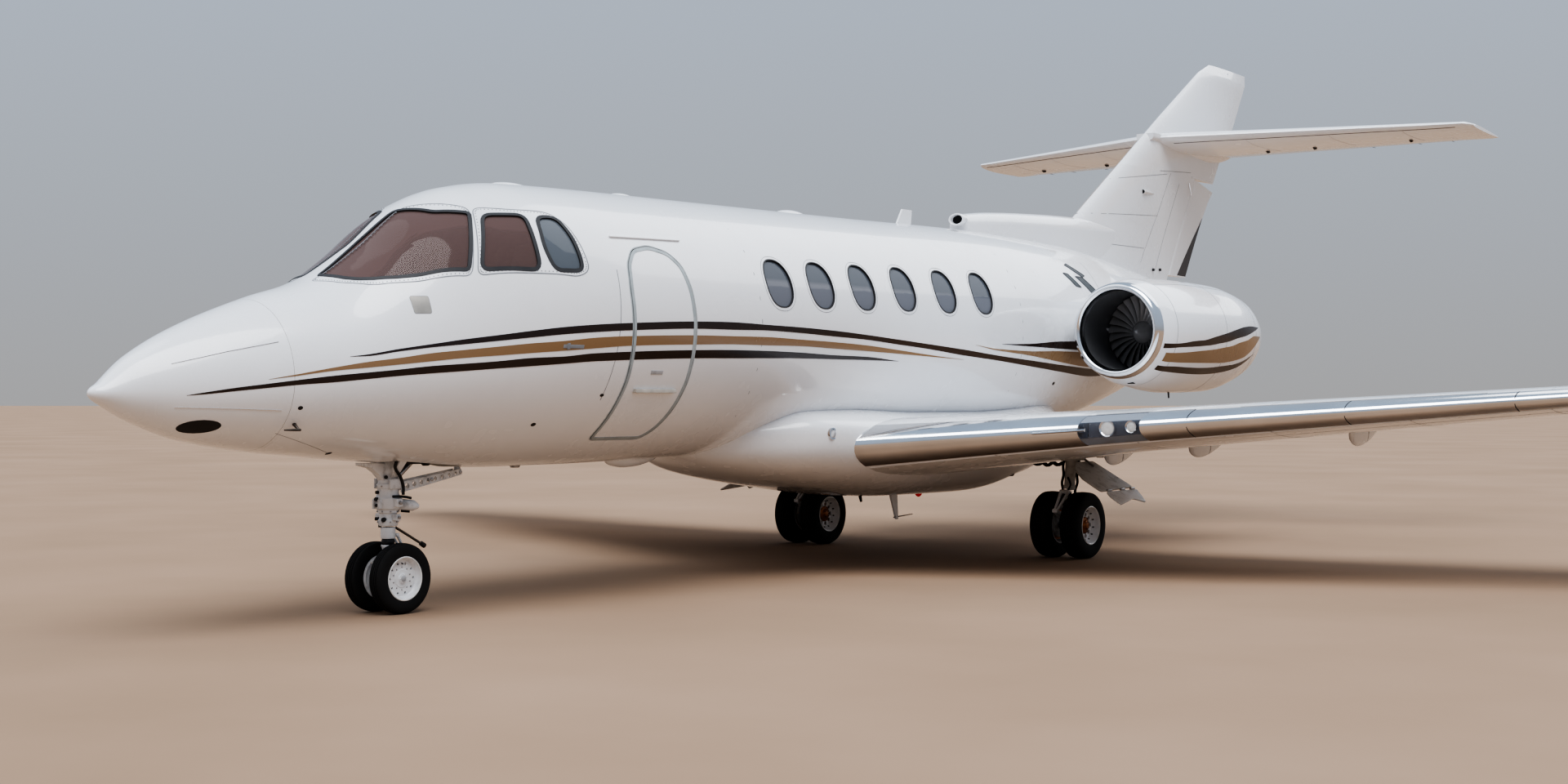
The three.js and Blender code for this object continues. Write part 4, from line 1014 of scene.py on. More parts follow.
def make_window_trim():
    """Black seals, and the painted and grey frames round them."""
    seals, frames, rivets, cabin = Form(), Form(), Form(), Form()
    for outline in PANE_OUTLINES:
        seals.join(both(skin_band, outline, -0.014, 0.013, 0.003, 0.012))
    for corners in COCKPIT_FRAMES:
        drawn = pane_outline(corners, 0.06)
        frames.join(both(skin_band, drawn, -0.0035, 0.0035, 0.001, 0.002))
        rivets.join(both(rivet_row, widened(drawn, -RIVETS["inset"])))
    for outline in WINDOW_OUTLINES:
        seals.join(both(skin_band, outline, -0.006, 0.004, 0.002, 0.014))
        cabin.join(both(skin_band, outline, 0.024, 0.027, 0.001, 0.002))
    seals.make("window_seals", "seal")
    frames.make("window_frames", "outline")
    rivets.make("window_rivets", "outline")
    cabin.make("window_rings", "seam")


# Stripes

def stripe(table, low, high, place, side):
    """A painted stripe between two places along it, as a thin raised sheet."""
    rows = []
    for station in steps(max(low, table[0][0]), min(high, table[-1][0]), 0.04):
        bottom, top = faired(table, station)
        edge = [bottom + (top - bottom) * k / 3 for k in range(4)]
        ring = [(edge[0], -0.001), *[(e, STRIPE_LIFT) for e in edge], (edge[3], -0.001)]
        rows.append([place(station, e, lift, side) for e, lift in ring])
    return Form().grid(rows, closed=False)


def make_stripes():
    front, rear = DOOR_STRIPES
    for color, tables in STRIPES.items():
        fixed, swung = Form(), Form()
        for table in tables:
            fixed.join(stripe(table, 0.0, LENGTH, hull_spot, -1))
            if table[0][0] > rear:
                fixed.join(stripe(table, 0.0, LENGTH, hull_spot, 1))
                continue
            fixed.join(stripe(table, 0.0, front - DOOR_GAP, hull_spot, 1))
            fixed.join(stripe(table, rear + DOOR_GAP, LENGTH, hull_spot, 1))
            swung.join(stripe(table, front, rear, hull_spot, 1))
        fixed.make(f"stripes_{color}", color, sharp=80)
        swung.make(f"door_stripes_{color}", color, "door", sharp=80)


# Door

def make_door():
    outline = widened(DOOR_OUTLINE, -0.008)
    leaf = skin_plug(outline, 0.0, -0.045, 12)
    leaf.make("door_panel", "white", "door", ["cabin_door"], sharp=50)
    inside = skin_plug(widened(outline, -0.02), -0.044, -0.056, 8)
    wall = hull_row(3.78)[0] - WALL
    for z in TREADS:
        inside.block((wall - 0.22, at(3.58), z), (wall - 0.02, at(4.00), z + 0.028))
    inside.make("door_steps", "liner", "door", bevel=0.004)
    skin_band(DOOR_OUTLINE, -0.030, -0.006, 0.003, 0.004).make("door_seal_band", "door_seal", "door")
    skin_band(DOOR_OUTLINE, 0.002, 0.008, 0.002, 0.004).make("door_frame_band", "door_seal")


# Wing and tail surfaces

def half_depth(chord, ratio, u):
    u = max(u, 0.0)
    return 5 * ratio * chord * (
        0.2969 * math.sqrt(u) - 0.126 * u - 0.3516 * u ** 2 + 0.2843 * u ** 3 - 0.1036 * u ** 4
    ) + 0.0025 * u


def spaced(low, high, count):
    """Shares of the chord, close together at the leading edge."""
    return [low + (high - low) * (i / count) ** 1.6 for i in range(count + 1)]


def on_foil(table, span, share, sign=0, lift=0.0):
    """A point of a wing at a share of its chord: sign 1 is on top, -1 below and 0 on its middle line."""
    leading, chord, z, ratio, drop = straight(table, span)
    depth = half_depth(chord, ratio, share) + lift
    return Vector((span, at(leading + share * chord), z - drop * share + sign * depth))


def section(table, span, low, high, count=12):
    """A closed ring of a surface between two shares of its chord. A cut one is hollow from behind."""
    shares = spaced(low, high, count)
    ring = [on_foil(table, span, u, 1) for u in shares[::-1]]
    ring += [on_foil(table, span, u, -1) for u in shares[1:]]
    if low > 0:
        ring.append(ring[count].lerp(ring[count + 1], 0.5))
    return ring


def share_at(table, span, station):
    leading, chord = straight(table, span)[:2]
    return (station - leading) / chord


def panel(table, spans, low, high, count=12):
    """A surface between two spans; each end of its chord is a share, or a pair of stations."""
    def share(end, span):
        if isinstance(end, tuple):
            return share_at(table, span, line(end, (spans[0], spans[-1]), span))
        return end
    rows = [section(table, span, share(low, span), share(high, span), count) for span in spans]
    return Form().grid(rows, ends=True)


def cove(surface):
    """Stations at which the fixed skin stops ahead of a hinged surface."""
    return tuple(hinge - surface["cove"] for hinge in surface["hinge"])


def hinge_nose(middle, radius):
    """The round front of a hinged surface, from its top to its underside or from left to right."""
    return [(radius * NOSE_ROUND * math.sin(a), middle.y - radius * NOSE_ROUND * math.cos(a))
            for a in [math.pi / 2 - math.pi * k / 8 for k in range(1, 8)]]


def control(table, spans, hinge, gap=MOVING_GAP, count=10):
    """A hinged surface behind its hinge line, with a round nose."""
    rows = []
    for span in [spans[0] + gap, *spans[1:-1], spans[-1] - gap]:
        start = share_at(table, span, line(hinge, (spans[0], spans[-1]), span))
        middle = on_foil(table, span, start)
        radius = on_foil(table, span, start, 1).z - middle.z
        nose = [Vector((span, y, middle.z + off)) for off, y in hinge_nose(middle, radius)]
        shares = [start + (1 - start) * k / count for k in range(count + 1)]
        rows.append([on_foil(table, span, u, 1) for u in shares[::-1]] + nose
                    + [on_foil(table, span, u, -1) for u in shares])
    return Form().grid(rows, ends=True)


def spans_between(low, high, breaks=(), step=0.4):
    spans = steps(low, high, step)
    return sorted(set(spans + [b for b in breaks if low < b < high]))


def make_wings():
    breaks = [row[0] for row in WING]
    fixed, edge = Form(), Form()
    root = spans_between(WING[0][0], FLAP["spans"][0], breaks)
    flap = spans_between(*FLAP["spans"], breaks)
    aileron = spans_between(*AILERON["spans"], breaks)
    tip = spans_between(AILERON["spans"][1], WING[-1][0], breaks, 0.1)
    for spans, rear in ((root, 1.0), (flap, cove(FLAP)), (aileron, cove(AILERON)), (tip, 1.0)):
        fixed.join(panel(WING, spans, WING_EDGE, rear))
    whole = root + flap[1:] + aileron[1:] + tip[1:]
    inner, outer = LANDING_LIGHT
    for spans in ([s for s in whole if s < inner] + [inner], [outer] + [s for s in whole if s > outer]):
        edge.join(panel(WING, spans, 0.0, WING_EDGE - 0.001, 14))
    flaps = control(WING, flap, tuple(hinge + FLAP["set_back"] for hinge in FLAP["hinge"]), FLAP["end"])
    fixed.make_pair("wing_skin", "white", node="wing", sharp=40)
    edge.make_pair("wing_polished_edge", "polished", node="wing_leading_edge", sharp=40)
    flaps.make_pair("flap_skin", "white", "flap", "flap", sharp=40)
    ailerons = control(WING, aileron, AILERON["hinge"])
    ailerons.make_pair("aileron_skin", "white", "aileron", "aileron", sharp=40)


def oval_rows(table, stations, power, count=72):
    rows = []
    for station in stations:
        half, middle, top, bottom = faired(table, station)
        up, down = top - middle, middle - bottom
        rows.append([Vector((x * half, at(station), middle + z * (up if z > 0 else down)))
                     for x, z in oval_outline((0, 0), 2, 2, count, power)])
    return rows


def make_belly():
    stations = steps(FAIRING[0][0], FAIRING[-1][0], 0.08)
    fairing = Form().grid(oval_rows(FAIRING, stations, FAIRING_POWER), ends=True)
    fairing.make("belly_fairing_skin", "white", replaces=["belly_fairing"], sharp=60)


def on_fin(z, share, sign=1):
    """A point on the fin's side at a share of its chord."""
    leading, chord, thick = straight(FIN, z)
    return Vector((sign * half_depth(chord, thick / chord, share), at(leading + share * chord), z))


def fin_ring(z, high=1.0):
    shares = spaced(0.0, high, 14)
    return [on_fin(z, u) for u in shares[::-1]] + [on_fin(z, u, -1) for u in shares[1:]]


def make_fin():
    low, high = RUDDER["heights"]
    heights = steps(FIN[0][0], FIN_TOP, 0.1) + [row[0] for row in FIN]

    def hinge_share(z, margin=0.0):
        return share_at(FIN, z, line(RUDDER["hinge"], RUDDER["heights"], z) - margin)

    fixed = Form()
    below = sorted(set([z for z in heights if low <= z <= high] + [low, high]))
    above = sorted(set([z for z in heights if z > high] + [high]))
    fixed.grid([fin_ring(z, hinge_share(z, RUDDER["cove"])) for z in below], ends=True)
    fixed.grid([fin_ring(z) for z in above], ends=True)
    fixed.grid([fin_ring(z, hinge_share(z, RUDDER["cove"])) for z in (FIN[0][0], low)], ends=True)
    fixed.make("fin_skin", "white", replaces=["fin"], sharp=40)
    rows = []
    for z in steps(low + MOVING_GAP, high - MOVING_GAP, 0.1):
        start = hinge_share(z)
        hinge = on_fin(z, start)
        fall = RUDDER["fall"] * 2 * ((z - low) / (high - low)) ** 6
        left = [on_fin(z, start + (1 - start) * k / 10) - Vector((0, 0, fall * k / 10)) for k in range(11)]
        nose = [Vector((x, y, z)) for x, y in hinge_nose(hinge, hinge.x)]
        rows.append(left[::-1] + nose + [Vector((-p.x, p.y, p.z)) for p in left])
    Form().grid(rows, ends=True).make("rudder_skin", "white", "rudder_body", ["rudder"], sharp=40)


def make_tailplane():
    breaks = [row[0] for row in TAILPLANE]
    middle = spans_between(0.0, ELEVATOR["spans"][0], breaks, 0.1)
    hinged = spans_between(*ELEVATOR["spans"], breaks)
    tip = spans_between(ELEVATOR["spans"][1], TAILPLANE[-1][0], breaks, 0.08)
    half = Form()
    for spans, rear in ((middle, 1.0), (hinged, cove(ELEVATOR)), (tip, 1.0)):
        half.join(panel(TAILPLANE, spans, 0.0, rear, 14))
    half.join(half.mirrored()).make("tailplane_skin", "white", replaces=["tailplane"], sharp=40)
    elevator = control(TAILPLANE, hinged, ELEVATOR["hinge"])
    elevator.make_pair("elevator_skin", "white", "elevator", "elevator", sharp=40)


def make_dorsal():
    """The ridge ahead of the fin, with the air scoop in its front."""
    rows = []
    for station in steps(DORSAL[0][0], DORSAL[-1][0], 0.1):
        half, ridge = faired(DORSAL, station)
        top = [(half * math.cos(a), at(station), ridge - half + half * math.sin(a)) for a in half_turn(20)]
        rows.append(top + [(-half, at(station), DORSAL_FOOT), (half, at(station), DORSAL_FOOT)])
    Form().grid(rows, ends=True).make("dorsal_ridge", "white", replaces=["dorsal_intake"], sharp=40)


# Engines

def round_engine(station, reach, angle):
    """A point about the left engine's shaft."""
    return Vector((ENGINE["x"] + reach * math.cos(angle), at(station), ENGINE["z"] + reach * math.sin(angle)))


def nacelle_skin(station, angle, lift=0.0, side=1):
    """A point on the cowl, which is round above and fuller below."""
    radius, chin = faired(NACELLE, station)
    reach = radius + chin * max(0.0, -math.sin(angle)) ** 2 + lift
    point = round_engine(station, reach, angle)
    point.x *= side
    return point


def make_nacelles():
    rows = [[nacelle_skin(s, a) for a in around(72)] for s in steps(NACELLE[0][0], NACELLE[-1][0], 0.05)]
    rows += [[round_engine(s, radius, a) for a in around(72)] for s, radius in NACELLE_BORE]
    centre = (ENGINE["x"], at(0), ENGINE["z"])
    edge = Form().lathe(INTAKE_LIP + INTAKE_LIP[:1], centre, (0, 1, 0), 72)
    duct = Form().lathe(INTAKE_DUCT + INTAKE_DUCT[:1], centre, (0, 1, 0), 72)
    Form().grid(rows + rows[:1]).make_pair("nacelle_cowl", "white", node="nacelle", sharp=40)
    duct.make_pair("intake_duct", "duct", sharp=40)
    edge.make_pair("intake_edge", "polished", node="intake_lip", sharp=40)


def on_nacelle(station, degrees, lift, side):
    return nacelle_skin(station, math.radians(degrees), lift, side)


def make_nacelle_stripes():
    for color, tables in NACELLE_STRIPES.items():
        form = Form()
        for table in tables:
            form.join(stripe(table, 0.0, LENGTH, on_nacelle, 1))
            form.join(stripe(table, 0.0, LENGTH, on_nacelle, -1))
        form.make(f"nacelle_stripes_{color}", color, sharp=80)


# Wheels, made about their own axle along X and then moved to their places

def arc(start, end, count, power_along=1.0, power_up=1.0):
    """A quarter of an oval from the start, which is widest, up to the end."""
    points = []
    for k in range(count + 1):
        a = math.pi / 2 * k / count
        points.append((
            end[0] + (start[0] - end[0]) * math.cos(a) ** power_along,
            start[1] + (end[1] - start[1]) * math.sin(a) ** power_up,
        ))
    return points


def tyre_form(gear):
    """A fat tyre: bulged walls, round shoulders and grooves round the tread."""
    half, rim, top, seat = gear["width"] / 2, gear["rim"], gear["radius"], gear["seat"]
    bulge = rim + 0.42 * (top - rim)
    wall = [(-(seat + (1 - seat) * out) * half, rim + up * (top - rim))
            for out, up in ((0.0, 0.0), (0.5, 0.04), (0.85, 0.2))]
    shoulder = arc((-half, bulge), (-0.62 * half, top - 0.004), 6, 0.8, 0.9)
    tread = []
    for groove in (-0.44, -0.15, 0.15, 0.44):
        crown = top - 0.004 * groove ** 2 / 0.38
        for across, depth in ((-0.0032, 0.0), (-0.0024, 0.005), (0.0024, 0.005), (0.0032, 0.0)):
            tread.append((groove * half + across, crown - depth))
    left = wall + shoulder
    right = [(-along, radius) for along, radius in reversed(left)]
    profile = left + tread + right
    return Form().lathe(profile + profile[:1], (0, 0, 0), (1, 0, 0), 60)


def in_wheel(gear, rows, sides):
    """A lathed part of a wheel: rows of width as a share of half the tyre's, and radius.
    A radius below zero is counted inwards from the rim."""
    half, rim = gear["width"] / 2, gear["rim"]
    profile = [(share * half, rim + radius if radius < 0 else radius) for share, radius in rows]
    return Form().lathe(profile, axis=(1, 0, 0), sides=sides)


def rim_ring(gear):
    """The bright rolled edge of a wheel, proud of the tyre."""
    edge, rim = gear["seat"] * gear["width"] / 2, gear["rim"]
    profile = [(edge + along, rim + out) for along, out in RIM_EDGE]
    return Form().lathe(profile, axis=(1, 0, 0), sides=72)


def ring_of_rods(count, ring, radius, low, high, sides=12, start=0.0):
    """Short rods along X, set in a ring about it."""
    form = Form()
    for a in around(count, start):
        form.rod((0, ring * math.cos(a), ring * math.sin(a)), (1, 0, 0), low, high, radius, sides)
    return form


def set_on(form, side, gear, centre):
    """Turns a wheel's form to its side of the leg and moves it to its place."""
    turned = form if side > 0 else form.mirrored()
    return turned.moved(Matrix.Translation((centre[0] + side * gear["track"], centre[1], centre[2])))


def on_axle(form, gear, centre):
    """The form at both wheels of a pair."""
    return set_on(form, -1, gear, centre).join(set_on(form, 1, gear, centre))


def make_wheels(gear, centre, body, names, style):
    """A pair of wheels on one axle. Names: hubs, right tyre, left tyre."""
    half, rim, hubs = gear["width"] / 2, gear["rim"], names[0]
    holes, nuts = Form(), Form()
    for count, ring, radius, start in style["holes"]:
        holes.join(ring_of_rods(count, ring, radius, -0.01, half, 20, start))
    for count, ring, radius, low, high, start in style["nuts"]:
        nuts.join(ring_of_rods(count, ring, radius, low, high, 6, start))
    discs = on_axle(in_wheel(gear, style["hub"], style["sides"]), gear, centre)
    mesh = carve(discs, on_axle(holes, gear, centre), hubs + "_discs")
    settle(hubs + "_discs", mesh, "hub", body, [hubs], 32)
    valve = Form().tube([(0.2 * half, 0.0, rim - 0.045), (0.5 * half, 0.0, rim - 0.05)], 0.004, 8)
    for form, piece, finish, bevel in (
        (rim_ring(gear), "rims", "bulb", 0.0),
        (in_wheel(gear, style["cap"], 40), "caps", style["cap_finish"], 0.0),
        (nuts, "nuts", style["nut_finish"], 0.0012),
        (valve, "valves", "seal", 0.0),
    ):
        on_axle(form, gear, centre).make(f"{hubs}_{piece}", finish, body, bevel=bevel)
    reach = gear["track"] - 0.1 * half
    Form().rod(centre, (1, 0, 0), -reach, reach, style["axle"], 20).make(hubs + "_axle", "steel", body)
    for name, side in zip(names[1:], (-1, 1)):
        set_on(tyre_form(gear), side, gear, centre).make(name + "_rubber", "tyre", body, [name], sharp=28)


# The wheels' hubs and caps: share of the tyre's half width, and radius, which is counted inwards from the
# rim where it is below zero. Holes: count, ring, radius, turn. Nuts: count, ring, radius, ends, turn
NOSE_WHEEL = {
    "hub": [(0.66, 0.0), (0.64, 0.016), (0.54, 0.028), (0.36, 0.034), (0.32, 0.042), (0.32, 0.056),
            (0.24, 0.062), (0.24, 0.114), (0.34, 0.121), (0.54, -0.014), (0.70, -0.010), (0.85, -0.006),
            (0.85, -0.001), (-0.85, -0.001), (-0.85, -0.02), (0.0, -0.022), (0.0, 0.05), (-0.5, 0.045),
            (-0.5, 0.0)],
    "sides": 64, "axle": 0.024, "cap_finish": "frame", "nut_finish": "steel",
    "cap": [(0.30, 0.0), (0.70, 0.001), (0.68, 0.014), (0.60, 0.021), (0.50, 0.0245), (0.30, 0.026),
            (0.30, 0.0)],
    "holes": [(10, 0.098, 0.0085, 0.0)],
    "nuts": [(10, 0.072, 0.0050, 0.006, 0.016, math.pi / 10), (8, 0.024, 0.0038, 0.02, 0.031, 0.2)],
}
MAIN_WHEEL = {
    "hub": [(0.52, 0.0), (0.50, 0.024), (0.42, 0.040), (0.30, 0.046), (0.26, 0.058), (0.20, 0.064),
            (0.24, 0.118), (0.42, 0.132), (0.60, -0.022), (0.76, -0.016), (0.86, -0.012), (0.90, -0.006),
            (0.90, -0.001), (-0.90, -0.001), (-0.90, -0.012), (0.02, -0.016), (0.06, 0.130), (0.06, 0.06),
            (-0.2, 0.050), (-0.2, 0.0)],
    "sides": 72, "axle": 0.030, "cap_finish": "copper", "nut_finish": "hose",
    "cap": [(0.10, 0.0), (0.56, 0.001), (0.54, 0.026), (0.46, 0.042), (0.33, 0.049), (0.29, 0.062),
            (0.23, 0.074), (0.10, 0.074), (0.10, 0.0)],
    "holes": [(9, 0.093, 0.0185, 0.0)],
    "nuts": [(12, 0.128, 0.0062, 0.020, 0.042, math.pi / 9), (9, 0.068, 0.0055, 0.012, 0.027, math.pi / 9),
             (8, 0.030, 0.0045, 0.03, 0.050, 0.1)],
}
# From the seat's edge and the rim: along the axle, outwards
RIM_EDGE = [(-0.004, -0.011), (0.003, -0.010), (0.006, -0.005), (0.003, 0.0), (-0.004, 0.0), (-0.004, -0.011)]
BRAKE_PLATE = [(-0.072, 0.036), (-0.072, 0.106), (-0.066, 0.114), (-0.056, 0.114), (-0.056, 0.036)]


def make_all_wheels():
    nose = (0.0, at(NOSE_GEAR["station"]), NOSE_GEAR["radius"])
    names = ["nose_wheel_hubs", "nose_tyre_right", "nose_tyre_left"]
    make_wheels(NOSE_GEAR, nose, "nose_wheels", names, NOSE_WHEEL)
    for name, side in SIDES:
        centre = (side * MAIN_GEAR["x"], at(MAIN_GEAR["station"]), MAIN_GEAR["radius"])
        tyres = [f"main_tyre_inner_{name}", f"main_tyre_outer_{name}"][::side]
        names = [f"main_wheel_hubs_{name}"] + tyres
        make_wheels(MAIN_GEAR, centre, body_on("main_wheels", side), names, MAIN_WHEEL)
        make_brakes(name, centre)


def make_brakes(name, centre):
    """Disc stacks inside the main wheels, held by the leg."""
    first, pitch, thick = -0.052, 0.013, 0.008
    profile = [(first, 0.062)]
    for low in [first + pitch * k for k in range(4)]:
        profile += [(low, 0.132), (low + thick, 0.132), (low + thick, 0.124), (low + pitch, 0.124)]
    profile.append((0.0, 0.062))
    discs = Form().lathe(profile + profile[:1], axis=(1, 0, 0))
    plate = Form().lathe(BRAKE_PLATE + BRAKE_PLATE[:1], axis=(1, 0, 0), sides=40)
    plate.join(ring_of_rods(6, 0.086, 0.016, -0.088, -0.070, 14))
    on_axle(discs, MAIN_GEAR, centre).make(f"brake_discs_{name}", "copper", sharp=40)
    on_axle(plate, MAIN_GEAR, centre).make(f"brake_housings_{name}", "grey", bevel=0.002)


# Landing gear

# Nose leg: height and radius of its column, and its ears as height, reach, width, half size, the reach of
# their bolts and the bolts' radius
NOSE_COLUMN = [
    (0.560, 0.040), (0.560, 0.060), (0.574, 0.064), (0.600, 0.064), (0.606, 0.056), (0.640, 0.056),
    (0.646, 0.068), (0.664, 0.068), (0.672, 0.084), (0.700, 0.088), (0.740, 0.088), (0.752, 0.076),
    (0.772, 0.070), (0.800, 0.070), (0.806, 0.076), (0.830, 0.076), (0.838, 0.066), (0.880, 0.062),
    (0.900, 0.058), (1.130, 0.056), (1.130, 0.030), (0.560, 0.030), (0.560, 0.040),
]
NOSE_LUGS = [(0.618, 0.082, 0.040, 0.020, 0.103, 0.010), (0.712, 0.100, 0.030, 0.026, 0.116, 0.013)]
# Plates on the nose leg: width and height, then distance aft and height
NOSE_YOKE = [
    (-0.058, 0.860), (0.058, 0.860), (0.080, 0.900), (0.148, 0.975), (0.152, 1.080), (0.120, 1.095),
    (0.070, 1.060), (0.052, 1.000), (-0.052, 1.000), (-0.070, 1.060), (-0.120, 1.095), (-0.152, 1.080),
    (-0.148, 0.975), (-0.080, 0.900),
]
NOSE_WEB = [(-0.050, 0.840), (-0.075, 0.870), (-0.115, 0.907), (-0.165, 0.937), (-0.245, 0.955),
            (-0.245, 0.972), (-0.050, 0.966)]
NOSE_JACK = [(0.020, 0.703, 0.037), (0.112, 0.690, 0.036), (0.128, 0.686, 0.024), (0.140, 0.682, 0.010)]
# Hoses on the nose leg: radius, and points of width, distance aft and height
NOSE_HOSES = [
    (0.0105, [(0.130, -0.043, 0.978), (0.116, -0.041, 0.936), (0.088, 0.026, 0.878), (0.086, 0.052, 0.818),
              (0.086, 0.052, 0.760)]),
    (0.0085, [(0.080, -0.030, 0.752), (0.092, 0.020, 0.751), (0.105, 0.062, 0.746), (0.118, 0.092, 0.738)]),
]
# Dark bolts round the nose leg: degrees, first and last distance from its line, height, radius
NOSE_BOLTS = [
    (-104, 0.050, 0.087, 0.778, 0.011), (-94, 0.070, 0.101, 0.734, 0.013), (-92, 0.070, 0.100, 0.695, 0.010),
    (-65, 0.050, 0.076, 0.602, 0.015), (-150, 0.050, 0.086, 0.604, 0.011), (-118, 0.044, 0.062, 0.560, 0.010),
    (-52, 0.050, 0.072, 0.876, 0.012),
]
# Main leg: height and radius
MAIN_COLUMN = [
    (0.590, 0.034), (0.590, 0.050), (0.600, 0.054), (0.622, 0.054), (0.630, 0.047), (0.700, 0.047),
    (0.800, 0.051), (0.900, 0.060), (0.912, 0.070), (0.950, 0.078), (1.000, 0.080), (1.000, 0.030),
    (0.590, 0.030), (0.590, 0.034),
]
# Hose down the main leg: shares of its reach out and aft, height. Hose along its bay: width, height
LEG_HOSE = [(1.2, 1, 0.940), (0.95, 1, 0.880), (1.10, 1, 0.800), (0.90, 1, 0.720), (1.05, 1, 0.650),
            (0.80, 1, 0.590), (0.95, 0.5, 0.500)]
BAY_HOSE = [(-0.04, 0.830), (-0.09, 0.806), (-0.14, 0.826), (-0.19, 0.800), (-0.24, 0.822), (-0.29, 0.806),
            (-0.34, 0.840), (-0.36, 0.960)]


def lugs(form, centre, reach, across, deep, high):
    """Two ears on opposite sides of a leg."""
    for side in (-1, 1):
        middle = Vector(centre) + Vector((side * reach, 0, 0))
        corner = Vector((across / 2, deep, high))
        form.block(middle - corner, middle + corner)
    return form


def torque_link(form, low, high, knee, spread, radius):
    """Two arms shaped like an A, joined by a pin at the knee."""
    across, knee = Vector((spread, 0, 0)), Vector(knee)
    for end in (Vector(low), Vector(high)):
        for side in (-1, 1):
            form.tube([end + across * side, knee + across * side * 0.35], [radius * 1.15, radius * 0.8], 8)
        form.rod(end, across, -1.3, 1.3, radius * 1.3)
    return form.rod(knee, across, -0.7, 0.7, radius * 1.4)


def hose(form, points, radius, count=6):
    """A hose on a smooth curve through a few points."""
    path = [Vector(p) for p in points]
    smooth = []
    for before, a, b, after in zip(path[:1] + path, path, path[1:], path[2:] + path[-1:]):
        for t in [k / count for k in range(count)]:
            smooth.append(
                a * (2 * t ** 3 - 3 * t ** 2 + 1) + b * (3 * t ** 2 - 2 * t ** 3)
                + (b - before) * 0.5 * (t ** 3 - 2 * t ** 2 + t) + (after - a) * 0.5 * (t ** 3 - t ** 2)
            )
    return form.tube(smooth + [path[-1]], radius, 8)


def make_nose_gear():
    y = at(NOSE_GEAR["station"])
    leg, jack, bolts = Form(), Form(), Form()
    leg.lathe(NOSE_COLUMN, (0, y, 0), sides=40)
    for z, reach, across, size, bolt_reach, bolt in NOSE_LUGS:
        lugs(leg, (0, y, z), reach, across, size, size)
        for side in (-1, 1):
            bolts.rod((0, y, z), (side, 0, 0), bolt_reach, bolt_reach + 0.014, bolt, 6)
    lugs(leg, (0, y - 0.0825, 0.7035), 0.026, 0.016, 0.0225, 0.0315)
    leg.prism([(x, y - 0.030, z) for x, z in NOSE_YOKE], (0, 0.060, 0))
    leg.prism([(-0.030, y + ahead, z) for ahead, z in NOSE_WEB], (0.060, 0, 0))
    leg.rod((0, y, 1.06), (1, 0, 0), -0.1525, 0.1525, 0.036, 20)
    leg.make("nose_leg_casting", "gear", replaces=["nose_leg"], bevel=0.004)

    path = [(along, y + along, z) for along, z, _ in NOSE_JACK]
    jack.tube(path, [radius for _, _, radius in NOSE_JACK], 16)
    jack.tube([(-0.06, y + 0.04, 0.705), (-0.105, y + 0.06, 0.709)], 0.026, 16)
    lugs(jack, (0, y, 0.8325), 0.075, 0.012, 0.05, 0.0325)
    jack.make("nose_steering_jack", "gear", bevel=0.003)
    make_nose_brace(y)
    make_nose_hoses(y)

    for z, radius in ((0.587, 0.066), (0.655, 0.070), (0.818, 0.078)):
        for a in around(8, 0.3):
            bolts.rod((0, y, z), (math.cos(a), math.sin(a), 0), radius - 0.004, radius + 0.005, 0.0055, 6)
    bolts.make("nose_gear_bolts", "steel", bevel=0.001)
    make_nose_fork(y)


def make_nose_brace(y):
    """The folding strut behind the leg: two lightened side plates, their pins and the bracket at the top."""
    brace, holes, rods = Form(), Form(), Form()
    low, high = Vector((0.0, y + 0.07, 0.806)), Vector((0.0, y + 0.60, 0.893))
    run = high - low
    up = Vector((0, -run.z, run.y)).normalized()
    for side in (-1, 1):
        off = Vector((side * 0.040 - 0.004, 0, 0))
        plate = [low - up * 0.034, high - up * 0.020, high + up * 0.020, low + up * 0.034]
        brace.prism([corner + off for corner in plate], (0.008, 0, 0))
    for k in range(8):
        holes.rod(low.lerp(high, 0.10 + 0.115 * k), (1, 0, 0), -0.08, 0.08, 0.018 - 0.0010 * k, 14)
    settle("nose_drag_brace", carve(brace, holes, "nose_drag_brace"), "gear", sharp=30)
    for share in (0.02, 0.5, 0.98):
        rods.rod(low.lerp(high, share), (1, 0, 0), -0.05, 0.05, 0.012)
    rods.tube([(0, y + 0.06, 0.86), (0, y + 0.30, 1.05)], 0.018, 12)
    rods.tube([high, (0, high.y, belly_height(0.0, high.y - at(0)) + 0.01)], 0.022, 12)
    rods.make("nose_brace_pins", "steel", bevel=0.001)


def make_nose_hoses(y):
    """The thick hose down the leg, a hose round the collar, dark bolts and the cable drum behind."""
    black = Form()
    for radius, points in NOSE_HOSES:
        hose(black, [(x, y + behind, z) for x, behind, z in points], radius)
    black.tube([(0.055, y + 0.060, 0.664), (0.095, y + 0.100, 0.660)], 0.017, 14)
    drum = [(0.08, 0.968, 0.013), (0.26, 0.966, 0.013), (0.27, 0.966, 0.026), (0.31, 0.966, 0.026)]
    black.tube([(0.035, y + behind, z) for behind, z, _ in drum], [radius for _, _, radius in drum], 16)
    for degrees, low, high, z, size in NOSE_BOLTS:
        turn = math.radians(degrees)
        black.rod((0, y, z), (math.cos(turn), math.sin(turn), 0), low, high, size, 10)
    black.make("nose_gear_hoses", "hose")


